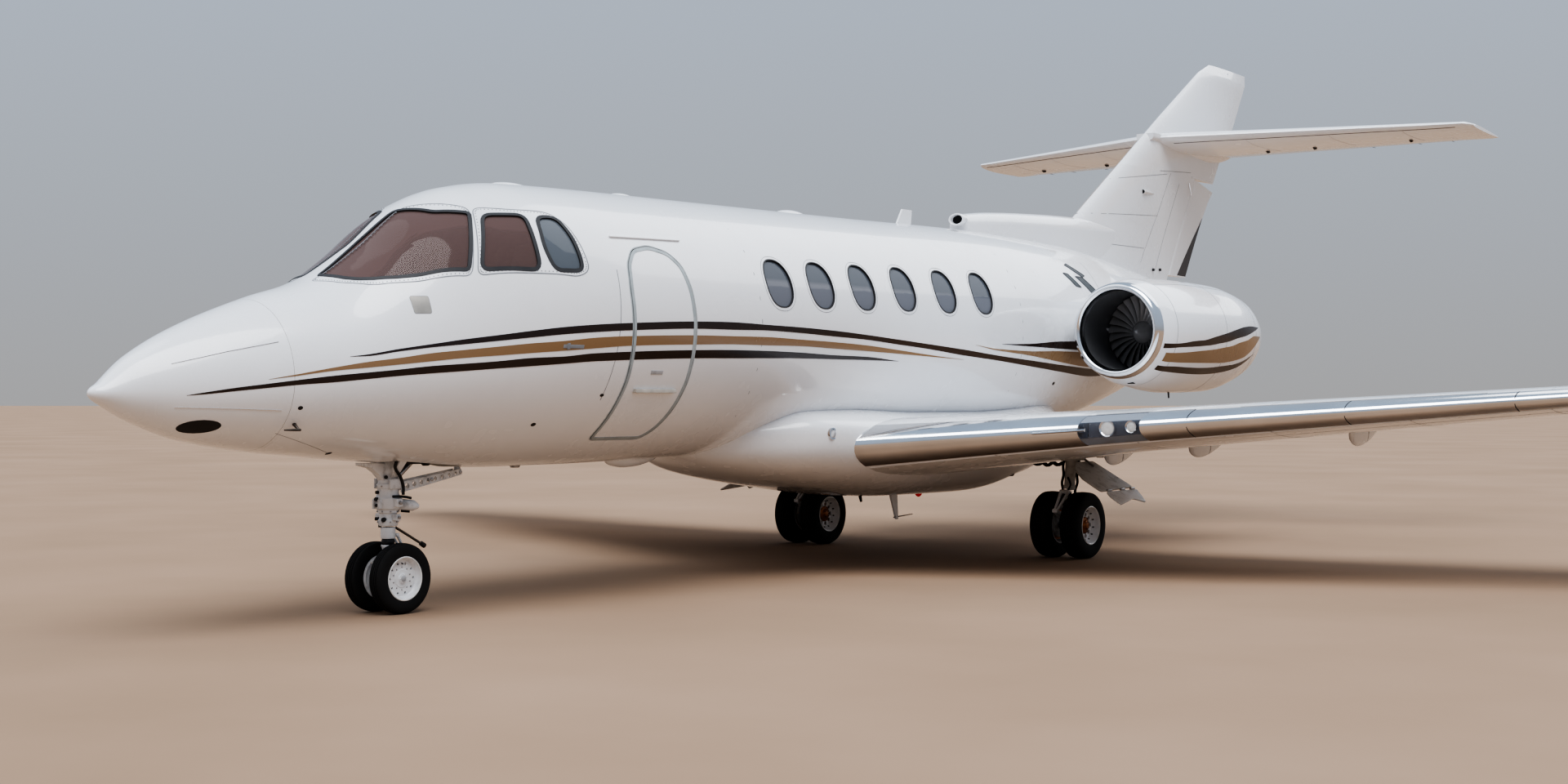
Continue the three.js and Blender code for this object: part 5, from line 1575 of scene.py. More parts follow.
def make_nose_fork(y):
    """Everything that steers: the sliding piston, the axle boss, the torque link and its rod."""
    axle, foot, low = NOSE_GEAR["radius"], NOSE_STRUT["foot"] - MOVING_GAP, 0.478
    fork, gland, centre = Form(), Form(), (0, y, 0)
    piston = [(low, 0.026), (low, 0.045), (0.490, 0.0475), (foot, 0.0475), (foot, 0.026), (low, 0.026)]
    boss = [(axle + 0.02, 0.0), (axle + 0.02, 0.038), (0.390, 0.034), (0.420, 0.040), (0.428, 0.045),
            (0.438, 0.045), (0.438, 0.0)]
    fork.lathe(piston, centre, sides=32).lathe(boss, centre, sides=32)
    fork.lathe(axle_boss(0.044, 0.036, 0.048, 0.052), (0, y, axle), (1, 0, 0), 32)
    low_pin = (0, y + 0.050, axle + 0.045)
    torque_link(fork, low_pin, (0, y + 0.052, 0.500), (0, y + 0.130, 0.392), 0.030, 0.009)
    fork.make("nose_fork_casting", "gear", "nose_steering", ["nose_steering_fork"], bevel=0.002)
    gland.lathe([(0.438, 0.0), (0.438, 0.038), (0.446, 0.042), (0.468, 0.042), (0.474, 0.038), (low, 0.038),
                 (low, 0.0)], centre, sides=32)
    gland.tube([(0.055, y + 0.230, 0.436), (0.055, y + 0.262, 0.418)], 0.0165, 14)
    gland.make("nose_piston_gland", "hose", "nose_steering")
    towing = [(0.025, y + 0.042, 0.548), (0.040, y + 0.150, 0.485), (0.055, y + 0.235, 0.433)]
    Form().tube(towing, 0.0085).make("nose_towing_rod", "soot", "nose_steering")


def axle_boss(reach, shoulder, radius, barrel):
    """The profile of the round boss that carries an axle."""
    right = [(shoulder, barrel), (reach, radius), (reach, 0.0)]
    return [(-along, out) for along, out in right[::-1]] + right


def make_main_gear():
    leg, foot, steel, black = main_leg_forms()
    place = Matrix.Translation((MAIN_GEAR["x"], at(MAIN_GEAR["station"]), 0))
    leg.moved(place).make_pair("main_leg_casting", "grey", node="main_leg", bevel=0.0015)
    foot.moved(place).make_pair("main_leg_foot", "gear")
    steel.moved(place).make_pair("main_leg_piston", "chrome")
    black.moved(place).make_pair("main_leg_hoses", "hose")


def leaned(form):
    """The form of a leg that leans back a little above its piston."""
    for point in form.points:
        rise = max(0.0, point.z - MAIN_STRUT["bend"])
        point.x += 0.03 * rise
        point.y += 0.12 * rise
    return form


def main_leg_forms():
    """The left main leg about its own line: upper casting, axle boss and link, bright piston, hoses."""
    axle, foot, roof = MAIN_GEAR["radius"], MAIN_STRUT["foot"], MAIN_STRUT["roof"]
    leg, boss, steel, black = Form(), Form(), Form(), Form()
    leg.lathe(MAIN_COLUMN, sides=36)
    stay = [(0, 0.03, 0.69), (-0.060, 0.045, 0.86), (-0.120, 0.060, roof - 0.02)]
    leg.tube(stay, [0.020, 0.024, 0.024], 14)
    leg.rod((0, 0, roof - 0.05), (1, 0, 0), -0.09, 0.09, 0.040, 18)
    leg.block((-0.11, -0.11, roof - 0.018), (0.11, 0.11, roof))
    leg.block((0.040, -0.018, 0.846), (0.130, 0.018, 0.874))
    boss.lathe([(axle + 0.03, 0.0), (axle + 0.03, 0.044), (0.405, 0.040), (0.425, 0.048), (0.448, 0.048),
                (0.452, 0.030), (0.452, 0.0)], sides=32)
    boss.lathe(axle_boss(0.050, 0.040, 0.046, 0.052), (0, 0, axle), (1, 0, 0), 32)
    torque_link(boss, (0, -0.046, axle + 0.035), (0, -0.050, 0.575), (0, -0.215, 0.415), 0.036, 0.014)
    steel.lathe([(0.448, 0.0), (0.448, 0.036), (foot + 0.01, 0.036), (foot + 0.01, 0.0)], sides=32)
    for side in (-1, 1):
        hose(black, [(side * 0.056 * out, side * 0.030 * aft, z) for out, aft, z in LEG_HOSE], 0.0125)
    hose(black, [(0.010, -0.060, 0.700), (0.045, -0.066, 0.640), (0.020, -0.060, 0.590)], 0.0080)
    for y in (-0.06, -0.09):
        hose(black, [(x, y, z) for x, z in BAY_HOSE], 0.0125)
    return leaned(leg), boss, steel, leaned(black)


def door_height(x):
    """Height of the slanted plane of the main gear door."""
    (inner, top), (outer, bottom) = DOOR_PLANE
    return line((top, bottom), (inner, outer), x)


def door_plate(outline, thick):
    """A plate in the slanted plane of the main gear door: outline as width, station."""
    slope = door_height(1.0) - door_height(0.0)
    points = [(x, at(station), door_height(x)) for x, station in outline]
    return Form().prism(points, Vector((slope, 0, -1)).normalized() * thick)


def make_main_gear_doors():
    """A broad plate beside the leg, and a smaller notched one hinged to its lower edge."""
    hinges = Form()
    x, z = HINGE_LINE, door_height(HINGE_LINE) + 0.004
    for station in DOOR_HINGES:
        hinges.tube([(x, at(station) - 0.035, z), (x, at(station) + 0.035, z)], 0.011, 12)
    link = Form().tube([(1.530, at(8.69), 0.860), (1.640, at(8.66), 0.800)], 0.011, 10)
    plate, lower = rounded(MAIN_DOOR, 0.030), rounded(LOWER_DOOR, 0.025)
    door_plate(plate, 0.014).make_pair("main_door_plate", "grey", node="main_gear_door", bevel=0.002)
    door_plate(lower, 0.012).make_pair("main_door_lower", "hub", bevel=0.002)
    hinges.make_pair("main_door_hinges", "steel", bevel=0.002)
    link.make_pair("main_door_link", "steel", bevel=0.002)


# Engines' insides

def blade_ring(share, turn):
    """One section of a fan blade, at a share of its length, turned about the shaft."""
    radius = line(BLADE["reach"], (0, 1), share)
    pitch = math.radians(line(BLADE["pitch"], (0, 1), share))
    chord = line(BLADE["chord"], (0, 1), share)
    lean = BLADE["lean"] * math.sin(math.pi * share)
    ring = []
    for sign, shape in ((1, BLADE["shape"]), (-1, BLADE["shape"][::-1])):
        for u, thick in shape:
            along, off = u * chord, sign * thick + BLADE["bow"] * (1 - 4 * u * u)
            across = along * math.sin(pitch) + off * math.cos(pitch) + lean
            deep = along * math.cos(pitch) - off * math.sin(pitch)
            angle = turn + across / radius
            ring.append((radius * math.sin(angle), deep, radius * math.cos(angle)))
    return ring


def make_fans():
    """Twisted blades round a conical spinner."""
    blades, spinner, bolts = Form(), Form(), Form()
    for turn in around(FAN_BLADES):
        blades.grid([blade_ring(k / 6, turn) for k in range(7)], ends=True)
    spinner.lathe(SPINNER, (0, 0, 0), (0, 1, 0), 40)
    ring = SPINNER_SCREWS["ring"]
    for b in around(SPINNER_SCREWS["count"]):
        spot = Vector((ring * math.sin(b), SPINNER_SCREWS["aft"], ring * math.cos(b)))
        out = Vector((math.sin(b), SPINNER_SCREWS["lean"], math.cos(b))).normalized()
        bolts.tube([spot - out * 0.004, spot + out * 0.002], SPINNER_SCREWS["radius"], 6)
    for name, side in SIDES:
        body = body_on("fan", side)
        place = Matrix.Translation((side * ENGINE["x"], at(ENGINE["fan"]), ENGINE["z"]))
        blades.moved(place).make(f"fan_blades_{name}", "fan", body, [f"fan_{name}"], sharp=50)
        spinner.moved(place).make(f"fan_spinner_{name}", "spinner", body, sharp=40)
        bolts.moved(place).make(f"spinner_screws_{name}", "spinner", body)


def make_engine_cores():
    """Guide vanes behind the fan, and the hot nozzle with its plug at the back."""
    vanes, nozzle, plug, shaft = Form(), Form(), Form(), (0, 1, 0)
    first, last = VANES["edges"]
    for a in around(VANES["count"]):
        out, across = Vector((math.sin(a), 0, math.cos(a))), Vector((math.cos(a), 0, -math.sin(a)))
        rows = []
        for reach in VANES["reach"]:
            front = out * reach + Vector((0, first, 0)) - across * VANES["lean"]
            back = out * reach + Vector((0, last, 0)) + across * VANES["lean"]
            rows.append([front, back, back + across * VANES["thick"], front + across * VANES["thick"]])
        vanes.grid(rows, ends=True)
    vanes.lathe(VANE_HUB, axis=shaft)
    nozzle.lathe(NOZZLE, axis=shaft)
    nozzle.lathe([(1.18, 0.0), (1.18, 0.362), (1.21, 0.362), (1.21, 0.0)], axis=shaft)
    plug.lathe(PLUG, axis=shaft, sides=36)
    for name, side in SIDES:
        place = Matrix.Translation((side * ENGINE["x"], at(ENGINE["fan"]), ENGINE["z"]))
        vanes.moved(place).make(f"guide_vanes_{name}", "duct", replaces=[f"engine_core_{name}"], sharp=40)
        nozzle.moved(place).make(f"exhaust_nozzle_{name}", "soot", sharp=40)
        plug.moved(place).make(f"exhaust_plug_{name}", "soot", sharp=40)


def make_pylons():
    """Thin foil-shaped arms from the fuselage to each nacelle."""
    rows = []
    shares = spaced(0.0, 1.0, 14)
    for x, front, rear, half in PYLON:
        ring = []
        for sign, run in ((1, shares[::-1]), (-1, shares[1:-1])):
            for u in run:
                depth = half_depth(1.0, PYLON_RATIO, u) / (PYLON_RATIO / 2) * half if u < 1 else 0.0
                ring.append((x, at(front + u * (rear - front)), PYLON_HEIGHT + sign * depth))
        rows.append(ring)
    Form().grid(rows, ends=True).make_pair("pylon_skin", "white", node="pylon", sharp=50)


# Nose bay doors

def belly_height(x, station):
    half, middle, _, bottom = hull_row(station)
    return middle - (middle - bottom) * math.sqrt(1 - (x / half) ** 2)


def make_nose_doors():
    """Two plates that close the front of the nose bay, shaped as the belly is."""
    rows = []
    widths = steps(0.002, NOSE_BAY["half"] - 0.003, 0.03)
    for station in steps(NOSE_BAY["start"] + 0.003, NOSE_BAY["door_end"], 0.04):
        outer = [Vector((x, at(station), belly_height(x, station))) for x in widths]
        rows.append(outer + [point + Vector((0, 0, 0.016)) for point in outer[::-1]])
    Form().grid(rows, ends=True).make_pair("nose_door_plate", "white", node="nose_gear_door", bevel=0.0015)


# Small things on the skin

# Lines between panels, on both sides: station and height of the points on each
PANEL_LINES = [
    [(1.013, 1.176), (1.250, 1.112), (1.496, 1.048)],
    [(3.386, 2.246), (3.352, 1.900), (3.297, 1.371)],
    [(4.860, 2.640), (4.860, 1.250)],
    [(8.620, 2.680), (8.620, 1.450)],
    [(10.32, 2.700), (10.32, 2.300)],
    [(11.90, 2.600), (11.90, 1.700)],
    [(12.10, 2.250), (12.10, 1.900), (12.70, 1.960), (12.70, 2.270), (12.10, 2.250)],
    [(13.42, 2.480), (13.42, 2.000)],
]
# Strips stuck to the nose cone, on both sides: points, half width, finish
NOSE_STRIPS = [
    ([(0.384, 1.576), (0.680, 1.650), (0.972, 1.711)], 0.0022, "frame"),
    ([(0.392, 1.330), (0.680, 1.322), (0.979, 1.311)], 0.0040, "chrome"),
]
# Dark ovals on both sides: station, height, width, depth
DARK_OVALS = [
    (0.565, 1.219, 0.220, 0.076), (1.086, 1.325, 0.030, 0.022), (1.510, 1.045, 0.028, 0.014),
    (2.809, 1.212, 0.040, 0.022), (3.293, 1.404, 0.034, 0.020), (9.392, 1.526, 0.040, 0.030),
]
STATIC_PLATE = [(1.824, 1.902), (1.929, 1.905), (1.935, 2.012), (1.827, 2.009)]
ENGINE_VENTS = [
    [(9.868, 2.652), (9.925, 2.668), (10.150, 2.562), (10.080, 2.542)],
    [(9.695, 2.565), (9.790, 2.560), (9.930, 2.436), (9.825, 2.444)],
    [(9.925, 2.544), (10.070, 2.540), (10.260, 2.402), (10.105, 2.398)],
]
# Low aerials: first station, last station, half width, height
ROOF_PADS = [(3.06, 3.42, 0.055, 0.022), (4.26, 4.53, 0.050, 0.024), (6.28, 6.67, 0.075, 0.034)]
BELLY_PAD = (4.21, 4.80, 0.075, 0.062)
PAD_SINK = 0.004            # how far their edges go into the skin
# Jacking points: width, station, and their profile as depth, radius
JACK_PADS = [(0.0, 3.30), (2.05, 8.00), (-2.05, 8.00)]
JACK_PAD = [(0.0, 0.010), (0.0, 0.030), (-0.010, 0.036), (-0.024, 0.036), (-0.024, 0.010), (0.0, 0.010)]


def fine_path(points):
    """Points on an open path, eight to each of its sections."""
    fine = []
    for a, b in zip(points, points[1:]):
        fine += [tuple(Vector(a).lerp(Vector(b), k / 8)) for k in range(8)]
    return fine + [points[-1]]


def make_skin_details():
    lines, dark, vents, rings = Form(), Form(), Form(), Form()
    for points in PANEL_LINES:
        lines.join(both(skin_strip, from_side(fine_path(points)), 0.0026, 0.0008, 0.002))
    for station, z, width, height in DARK_OVALS:
        outline = from_side(oval_outline((station, z), width, height, 24, 1.0))
        dark.join(both(skin_plug, outline, 0.0015, -0.004, 3))
    lines.make("panel_lines", "seam")
    dark.make("dark_ports", "hose")
    for number, (points, half, finish) in enumerate(NOSE_STRIPS, 1):
        strips = both(skin_strip, from_side(fine_path(points)), half, 0.0035, 0.002)
        strips.make(f"nose_strips_{number}", finish)
    outline = from_side(filled(rounded(STATIC_PLATE, 0.012, 3), 0.02))
    both(skin_plug, outline, 0.0015, -0.004, 3).make("static_plates", "plate")
    both(skin_band, outline, 0.0, 0.003, 0.001, 0.002).make("static_plate_edges", "seam")
    for corners in ENGINE_VENTS:
        outline = from_side(filled(rounded(corners, 0.008, 2), 0.02))
        vents.join(both(skin_plug, outline, 0.002, -0.004, 3))
        rings.join(both(skin_band, outline, -0.002, 0.004, 0.004, 0.002))
    vents.make("engine_vents", "vent")
    rings.make("engine_vent_edges", "seal")


def make_left_side_details():
    """What only the left side has: a latch ahead of the door, the gutter above it and its handle."""
    latch = skin_strip(from_side([(2.858 + 0.0215 * k, 1.72) for k in range(9)]), 0.013, 0.004)
    latch.join(skin_strip(from_side([(2.90, 1.70), (2.90, 1.74)]), 0.012, 0.006))
    latch.make("skin_handle", "outline", bevel=0.001)
    gutter = skin_strip(from_side([(3.438 + 0.09 * k, 2.475 + 0.0025 * k) for k in range(9)]), 0.006, 0.013)
    gutter.make("rain_gutter", "white", bevel=0.002)
    handle = skin_strip(from_side([(3.70 + 0.02 * k, 1.56) for k in range(7)]), 0.014, 0.003, 0.002)
    handle.make("door_handle", "frame", "door", bevel=0.001)


def pad_rows(start, end, half, height, place, count=14):
    """Rows of a low streamlined blister; place gives a point from station, offset and rise."""
    rows = []
    for k in range(count + 1):
        share = k / count
        size = max(0.02, math.sin(math.pi * share ** 0.8) ** 0.7)
        station = start + (end - start) * share
        wide, high = half * size, height * size
        rows.append([place(station, wide * math.cos(a), high * math.sin(a)) for a in half_turn(10)])
    return rows


def on_roof(station, x, rise):
    half, middle, top, _ = hull_row(station)
    roof = middle + (top - middle) * math.sqrt(1 - (x / half) ** 2)
    return Vector((x, at(station), roof + rise - PAD_SINK))


def under_belly(station, x, rise):
    return Vector((x, at(station), belly_height(x, station) - rise + PAD_SINK))


def make_aerials():
    pads = Form()
    for start, end, half, height in ROOF_PADS:
        pads.grid(pad_rows(start, end, half, height, on_roof), ends=True)
    pads.grid(pad_rows(*BELLY_PAD, under_belly), ends=True)
    pads.make("aerial_blisters", "white", sharp=50)
    rod = Form().tube([(0.0, at(8.00), 0.330), (0.0, at(8.30), 0.345)], [0.007, 0.0035])
    rod.make("belly_aerial_rod", "steel")


def make_probes():
    """Air data probes beside the nose, and masts below the fairing and the nacelles."""
    probes = Form()
    mast = Form().tube([(0.10, at(7.33), 0.560), (0.10, at(7.35), 0.500)], [0.016, 0.010], 12)
    for side in (1, -1):
        foot = hull_spot(1.089, 1.229, -0.005, side)
        bend = foot + Vector((side * 0.8, 0, -0.6)) * 0.060
        probes.tube([foot, bend], [0.012, 0.007], 12)
        tube = [bend + Vector((0, aft, 0)) for aft in (0.012, -0.030, -0.105)]
        probes.tube(tube, [0.008, 0.008, 0.0045], 12)
        mast.tube([(side * 1.5, at(10.40), 1.460), (side * 1.5, at(10.41), 1.392)], [0.010, 0.007])
    probes.make("air_probes", "soot", bevel=0.0008)
    mast.make("drain_masts", "hose")


def lens(form, centre, axis, radius, height):
    """A domed lamp cover."""
    profile = [(-0.004, radius * 1.02), (0.0, radius)]
    for k in range(1, 6):
        a = math.pi / 2 * k / 5
        profile.append((height * math.sin(a), max(radius * math.cos(a), 0.0005)))
    return form.lathe(profile + [(-0.004, 0.0005), profile[0]], centre, axis, 24)


def lamp_rim(back, front, radius, width=0.010):
    """The profile of the bright ring round a lamp, a little wider at its back."""
    return [(back, radius), (front, radius), (front, radius + width), (back, radius + width + 0.002),
            (back, radius)]


def make_lamps():
    red, clear, rims, black = Form(), Form(), Form(), Form()
    below, above = at(BEACONS["below"]), at(BEACONS["above"])
    lens(red, (0, below, 0.546), (0, 0, -1), 0.036, 0.050)
    lens(red, (0, above, FIN_TOP - 0.042), (0, 0, 1), 0.026, 0.040)
    edge = oval_rows(FAIRING, [ROUND_LAMP], FAIRING_POWER)[0][0]
    for side in (1, -1):
        spot = Vector((side * (edge.x - 0.004), edge.y, edge.z + 0.006))
        lens(clear, spot + Vector((side * 0.004, 0, 0)), (side, 0, 0), 0.036, 0.014)
        rims.lathe(lamp_rim(-0.01, 0.010, 0.036), spot, (side, 0, 0), 28)
        start = Vector((side * 0.815, at(8.58), 0.716))
        capsule = [start + Vector((0, aft, 0)) for aft in (0, 0.02, 0.10, 0.12)]
        black.tube(capsule, [0.006, 0.022, 0.022, 0.006], 14)
    rims.lathe(lamp_rim(-0.012, 0.004, 0.026, 0.008), (0, above, FIN_TOP - 0.044), sides=24)
    rims.lathe(lamp_rim(-0.02, 0.006, 0.036), (0, below, 0.548), (0, 0, -1), 28)
    red.make("red_beacons", "red")
    clear.make("round_lamp_glass", "clear")
    rims.make("lamp_rims", "chrome")
    black.make("fairing_capsules", "hose")
    rows = []
    for span in TIP_LAMP_SPANS:
        ring = section(WING, span, 0.0, 0.10, 6)
        middle = sum(ring, Vector()) / len(ring)
        rows.append([middle + (point - middle) * 1.03 for point in ring])
    tip = Form().grid(rows, ends=True)
    tip.make("tip_lamp_left", "red", sharp=50)
    tip.mirrored().make("tip_lamp_right", "green", sharp=50)


def make_jack_pads():
    pads = Form()
    for x, station in JACK_PADS:
        low = on_wing_floor(abs(x), station) if x else belly_height(0.0, station)
        pads.lathe(JACK_PAD, (x, at(station), low - 0.014), (0, 0, -1), 24)
    pads.make("jack_pads", "steel")


# Fittings on the wings and tail

# Flap track fairings: span, first station, last station of the fixed part, last station of the moving part
FLAP_TRACKS = [(1.80, 8.56, 8.85, 9.20), (2.60, 8.52, 8.88, 9.30), (3.92, 8.64, 8.98, 9.30)]
TRACK_SIZE = (0.140, 0.030)     # depth, half width


def on_wing_floor(span, station, table=WING):
    """Height of the wing's or tailplane's underside."""
    return on_foil(table, span, share_at(table, span, station), -1).z


def track_fairing(span, start, end, reach, count=12):
    """A narrow pod under the wing; reach gives its depth by the share of its whole length."""
    rows = []
    for k in range(count + 1):
        station = start + (end - start) * k / count
        depth, half = reach(station)
        top = on_wing_floor(span, min(station, reach.limit)) + 0.006
        ring = [(span + half, at(station), top)]
        for a in half_turn(8):
            ring.append((span + half * math.cos(a), at(station), top - depth * (0.35 + 0.65 * math.sin(a))))
        rows.append(ring + [(span - half, at(station), top)])
    return Form().grid(rows, ends=True)


def pod_reach(start, end, depth, half):
    def reach(station):
        share = min(max((station - start) / (end - start), 0.0), 1.0)
        size = max(0.04, math.sin(math.pi * share ** 0.62) ** 0.55)
        return depth * size, half * size ** 0.6
    reach.limit = end - 0.12
    return reach


def make_flap_tracks():
    fixed, moving = Form(), Form()
    for span, start, joint, end in FLAP_TRACKS:
        reach = pod_reach(start, end, *TRACK_SIZE)
        fixed.join(track_fairing(span, start, joint - 0.012, reach))
        moving.join(track_fairing(span, joint + 0.006, end, reach, 8))
    fixed.make_pair("flap_track_front", "white", sharp=50)
    moving.make_pair("flap_track_rear", "white", "flap", sharp=50)


def edge_window(spans):
    """The clear cover, the bowl behind it and the two lamps in the wing's leading edge."""
    cover, bowl, lamps, bulbs = Form(), Form(), Form(), Form()
    rows, back = [], []
    for span in steps(spans[0] + 0.002, spans[1] - 0.002, 0.06):
        ring = section(WING, span, 0.0, WING_EDGE - 0.002, 14)
        middle = sum(ring, Vector()) / len(ring)
        rows.append(ring + [point + (middle - point).normalized() * 0.005 for point in ring[::-1]])
        leading, chord, z, ratio, _ = straight(WING, span)
        y = at(leading + chord * (WING_EDGE - 0.004))
        depth = half_depth(chord, ratio, WING_EDGE) * 0.96
        back.append([(span, y, z + depth), (span, y, z - depth), (span, y + 0.004, z - depth),
                     (span, y + 0.004, z + depth)])
    cover.grid(rows, ends=True)
    bowl.grid(back, ends=True)
    for share, radius in LANDING_LAMPS:
        span = spans[0] + (spans[1] - spans[0]) * share
        leading, chord, z = straight(WING, span)[:3]
        centre = Vector((span, at(leading + chord * 0.050), z + 0.004))
        dish = [(0.030, 0.006), (0.024, radius * 0.45), (0.006, radius * 0.85), (-0.012, radius),
                (-0.014, radius * 1.12), (0.034, radius * 0.9), (0.040, 0.006), (0.030, 0.006)]
        face = [(0.0, 0.001), (-0.004, radius * 0.5), (0.002, radius * 0.9), (0.005, radius * 0.9),
                (0.002, 0.001), (0.0, 0.001)]
        lamps.lathe(dish, centre, (0, 1, 0), 32)
        bulbs.lathe(face, centre + Vector((0, -0.006, 0)), (0, 1, 0), 32)
        bulbs.lathe([(0.020, 0.001), (0.010, 0.012), (-0.004, 0.010), (-0.008, 0.001)], centre, (0, 1, 0), 16)
    cover.make_pair("landing_light_cover", "clear", sharp=50)
    bowl.make_pair("landing_light_bowl", "bowl", sharp=50)
    lamps.make_pair("landing_light_dishes", "chrome", sharp=50)
    bulbs.make_pair("landing_light_bulbs", "bulb", sharp=50)


def stall_strip(spans):
    """A sharp ridge along the nose of the wing."""
    rows = []
    for span in steps(spans[0], spans[1], 0.1):
        nose = on_foil(WING, span, 0.0)
        rows.append([nose + Vector((0, aft, rise)) for aft, rise in STALL_RIDGE])
    return Form().grid(rows, ends=True)


def surface_seam(table, spans, share, sign, half=0.0025):
    """A thin line along a wing or tailplane at one share of its chord."""
    rows = []
    for span in steps(spans[0], spans[1], 0.15):
        chord = straight(table, span)[1]
        rows.append([on_foil(table, span, share + across * half / chord, sign, lift)
                     for across, lift in SEAM_RING])
    return Form().grid(rows, ends=True)


def chord_seam(table, span, shares, sign, half=0.0025):
    """A thin line across a wing or tailplane at one span."""
    rows = []
    for k in range(13):
        u = shares[0] + (shares[1] - shares[0]) * k / 12
        rows.append([on_foil(table, span, u, sign, lift) + Vector((across * half, 0, 0))
                     for across, lift in SEAM_RING])
    return Form().grid(rows, ends=True)


def tail_wick(form, table, span, path, radii):
    """A thin rod on a trailing edge: path as distance aft and rise."""
    tail = on_foil(table, span, 1.0)
    form.tube([tail + Vector((0, aft, rise)) for aft, rise in path], radii, 8)


def make_wing_details():
    seams, dark, wicks = Form(), Form(), Form()
    for sign in (1, -1):
        for spans, share in LONG_SEAMS:
            seams.join(surface_seam(WING, spans, share, sign))
        for table, spans, shares in WING_SEAMS:
            for span in spans:
                seams.join(chord_seam(table, span, shares, sign))
        for span in EDGE_JOINTS:
            dark.join(chord_seam(WING, span, (0.004, WING_EDGE), sign, 0.004))
    for joint in DARK_JOINTS:
        dark.join(surface_seam(*joint))
    for span in AILERON_WICKS:
        tail_wick(wicks, WING, span, [(-0.02, 0), (0.015, 0), (0.13, -0.004)], [0.004, 0.003, 0.0012])
    seams.make_pair("wing_seams", "seam", sharp=50)
    stall_strip(STALL_STRIP).make_pair("stall_strip", "chrome", sharp=50)
    dark.make_pair("edge_joints", "seal", sharp=50)
    wicks.make_pair("static_wicks", "hose", "aileron", sharp=50)
    edge_window(LANDING_LIGHT)


def fin_side(station, z, lift=0.0, side=1):
    """A point on the fin's side."""
    leading, chord, thick = straight(FIN, z)
    share = min(max((station - leading) / chord, 0.0), 1.0)
    return Vector((side * (half_depth(chord, thick / chord, share) + lift), at(station), z))


def fin_line(points, half=0.003, lift=0.0008, side=1):
    """A thin line on the fin's side, through points of station and height."""
    rows = []
    for (s0, z0), (s1, z1) in zip(points, points[1:]):
        across = Vector((z1 - z0, s0 - s1)).normalized() * half
        for k in range(9):
            s, z = s0 + (s1 - s0) * k / 8, z0 + (z1 - z0) * k / 8
            rows.append([fin_side(s + sign * across.x, z + sign * across.y, height, side)
                         for sign, height in ((-1, -0.002), (-1, lift), (1, lift), (1, -0.002))])
    return Form().grid(rows, ends=True)


# Small things on the fin's sides, as station and height
CLOSING_STRIP = [(13.98, 3.912), (14.60, 3.930)]
FIN_FITTINGS = [(12.93, 2.80), (13.12, 2.81)]
FIN_INLET = {"station": 12.66, "height": 3.632, "length": 0.30, "half": 0.028, "depth": 0.034}


def make_fin_details():
    seams, bright, dark, inlets, mouths = Form(), Form(), Form(), Form(), Form()
    for side in (1, -1):
        for points in FIN_SEAMS:
            seams.join(fin_line(points, side=side))
        bright.join(fin_line(CLOSING_STRIP, 0.010, 0.006, side))
        for station, z in FIN_FITTINGS:
            dark.rod(fin_side(station, z, -0.01, side), (side, 0, 0), 0.0, 0.028, 0.016)
        rows = []
        for share in [k / 8 for k in range(9)]:
            size = max(0.05, (1 - share) ** 0.6)
            row = []
            for a in [turn - math.pi / 2 for turn in half_turn(8)]:
                station = FIN_INLET["station"] + FIN_INLET["length"] * share
                height = FIN_INLET["height"] + FIN_INLET["half"] * size * math.sin(a)
                out = Vector((side * FIN_INLET["depth"] * size * math.cos(a), 0, 0))
                row.append(fin_side(station, height, -0.004, side) + out)
            rows.append(row)
        inlets.grid(rows, ends=True)
        # Each mouth is a thin near-black plate on the inlet's front: painted shade for its opening
        front = [point + Vector((0, -0.0015, 0)) for point in rows[0]]
        middle = sum(front, Vector()) / len(front)
        mouths.prism([middle + (point - middle) * 0.8 for point in front], (0, 0.002, 0))
    seams.make("fin_seams", "seam")
    bright.make("fin_closing_strip", "white")
    dark.make("fin_foot_fittings", "hose")
    inlets.make("fin_inlets", "white", sharp=50)
    mouths.make("fin_inlet_mouth_shade", "black_and_shade")


# Fairing where the tailplane crosses the fin: station, half width, underside
JUNCTION = [(12.93, 0.100, 4.215), (13.50, 0.128, 4.150), (14.35, 0.140, 4.126), (14.85, 0.118, 4.170),
            (15.27, 0.020, 4.320)]
JUNCTION_LINE = 4.262       # height of the widest line of that fairing
JUNCTION_TOP = {"front": 4.300, "rear": 4.330, "change": 14.9}     # heights, and the station between
# Painted shade on the rudder's lower trailing edge: lowest and highest height, and its width at the foot
RUDDER_EDGE_SHADE = {"heights": (2.78, 3.48), "width": 0.270}
# Lines on the fin's sides: points of station and height
FIN_SEAMS = [
    [(12.05, 3.72), (13.28, 3.88)], [(11.35, 3.30), (13.05, 3.40)],
    [(12.60, 2.86), (13.05, 3.42), (13.38, 3.90)], [(13.10, 3.90), (13.95, 3.96)],
    [(10.95, 3.00), (12.70, 3.02)], [(13.00, 2.80), (13.62, 3.80)],
]


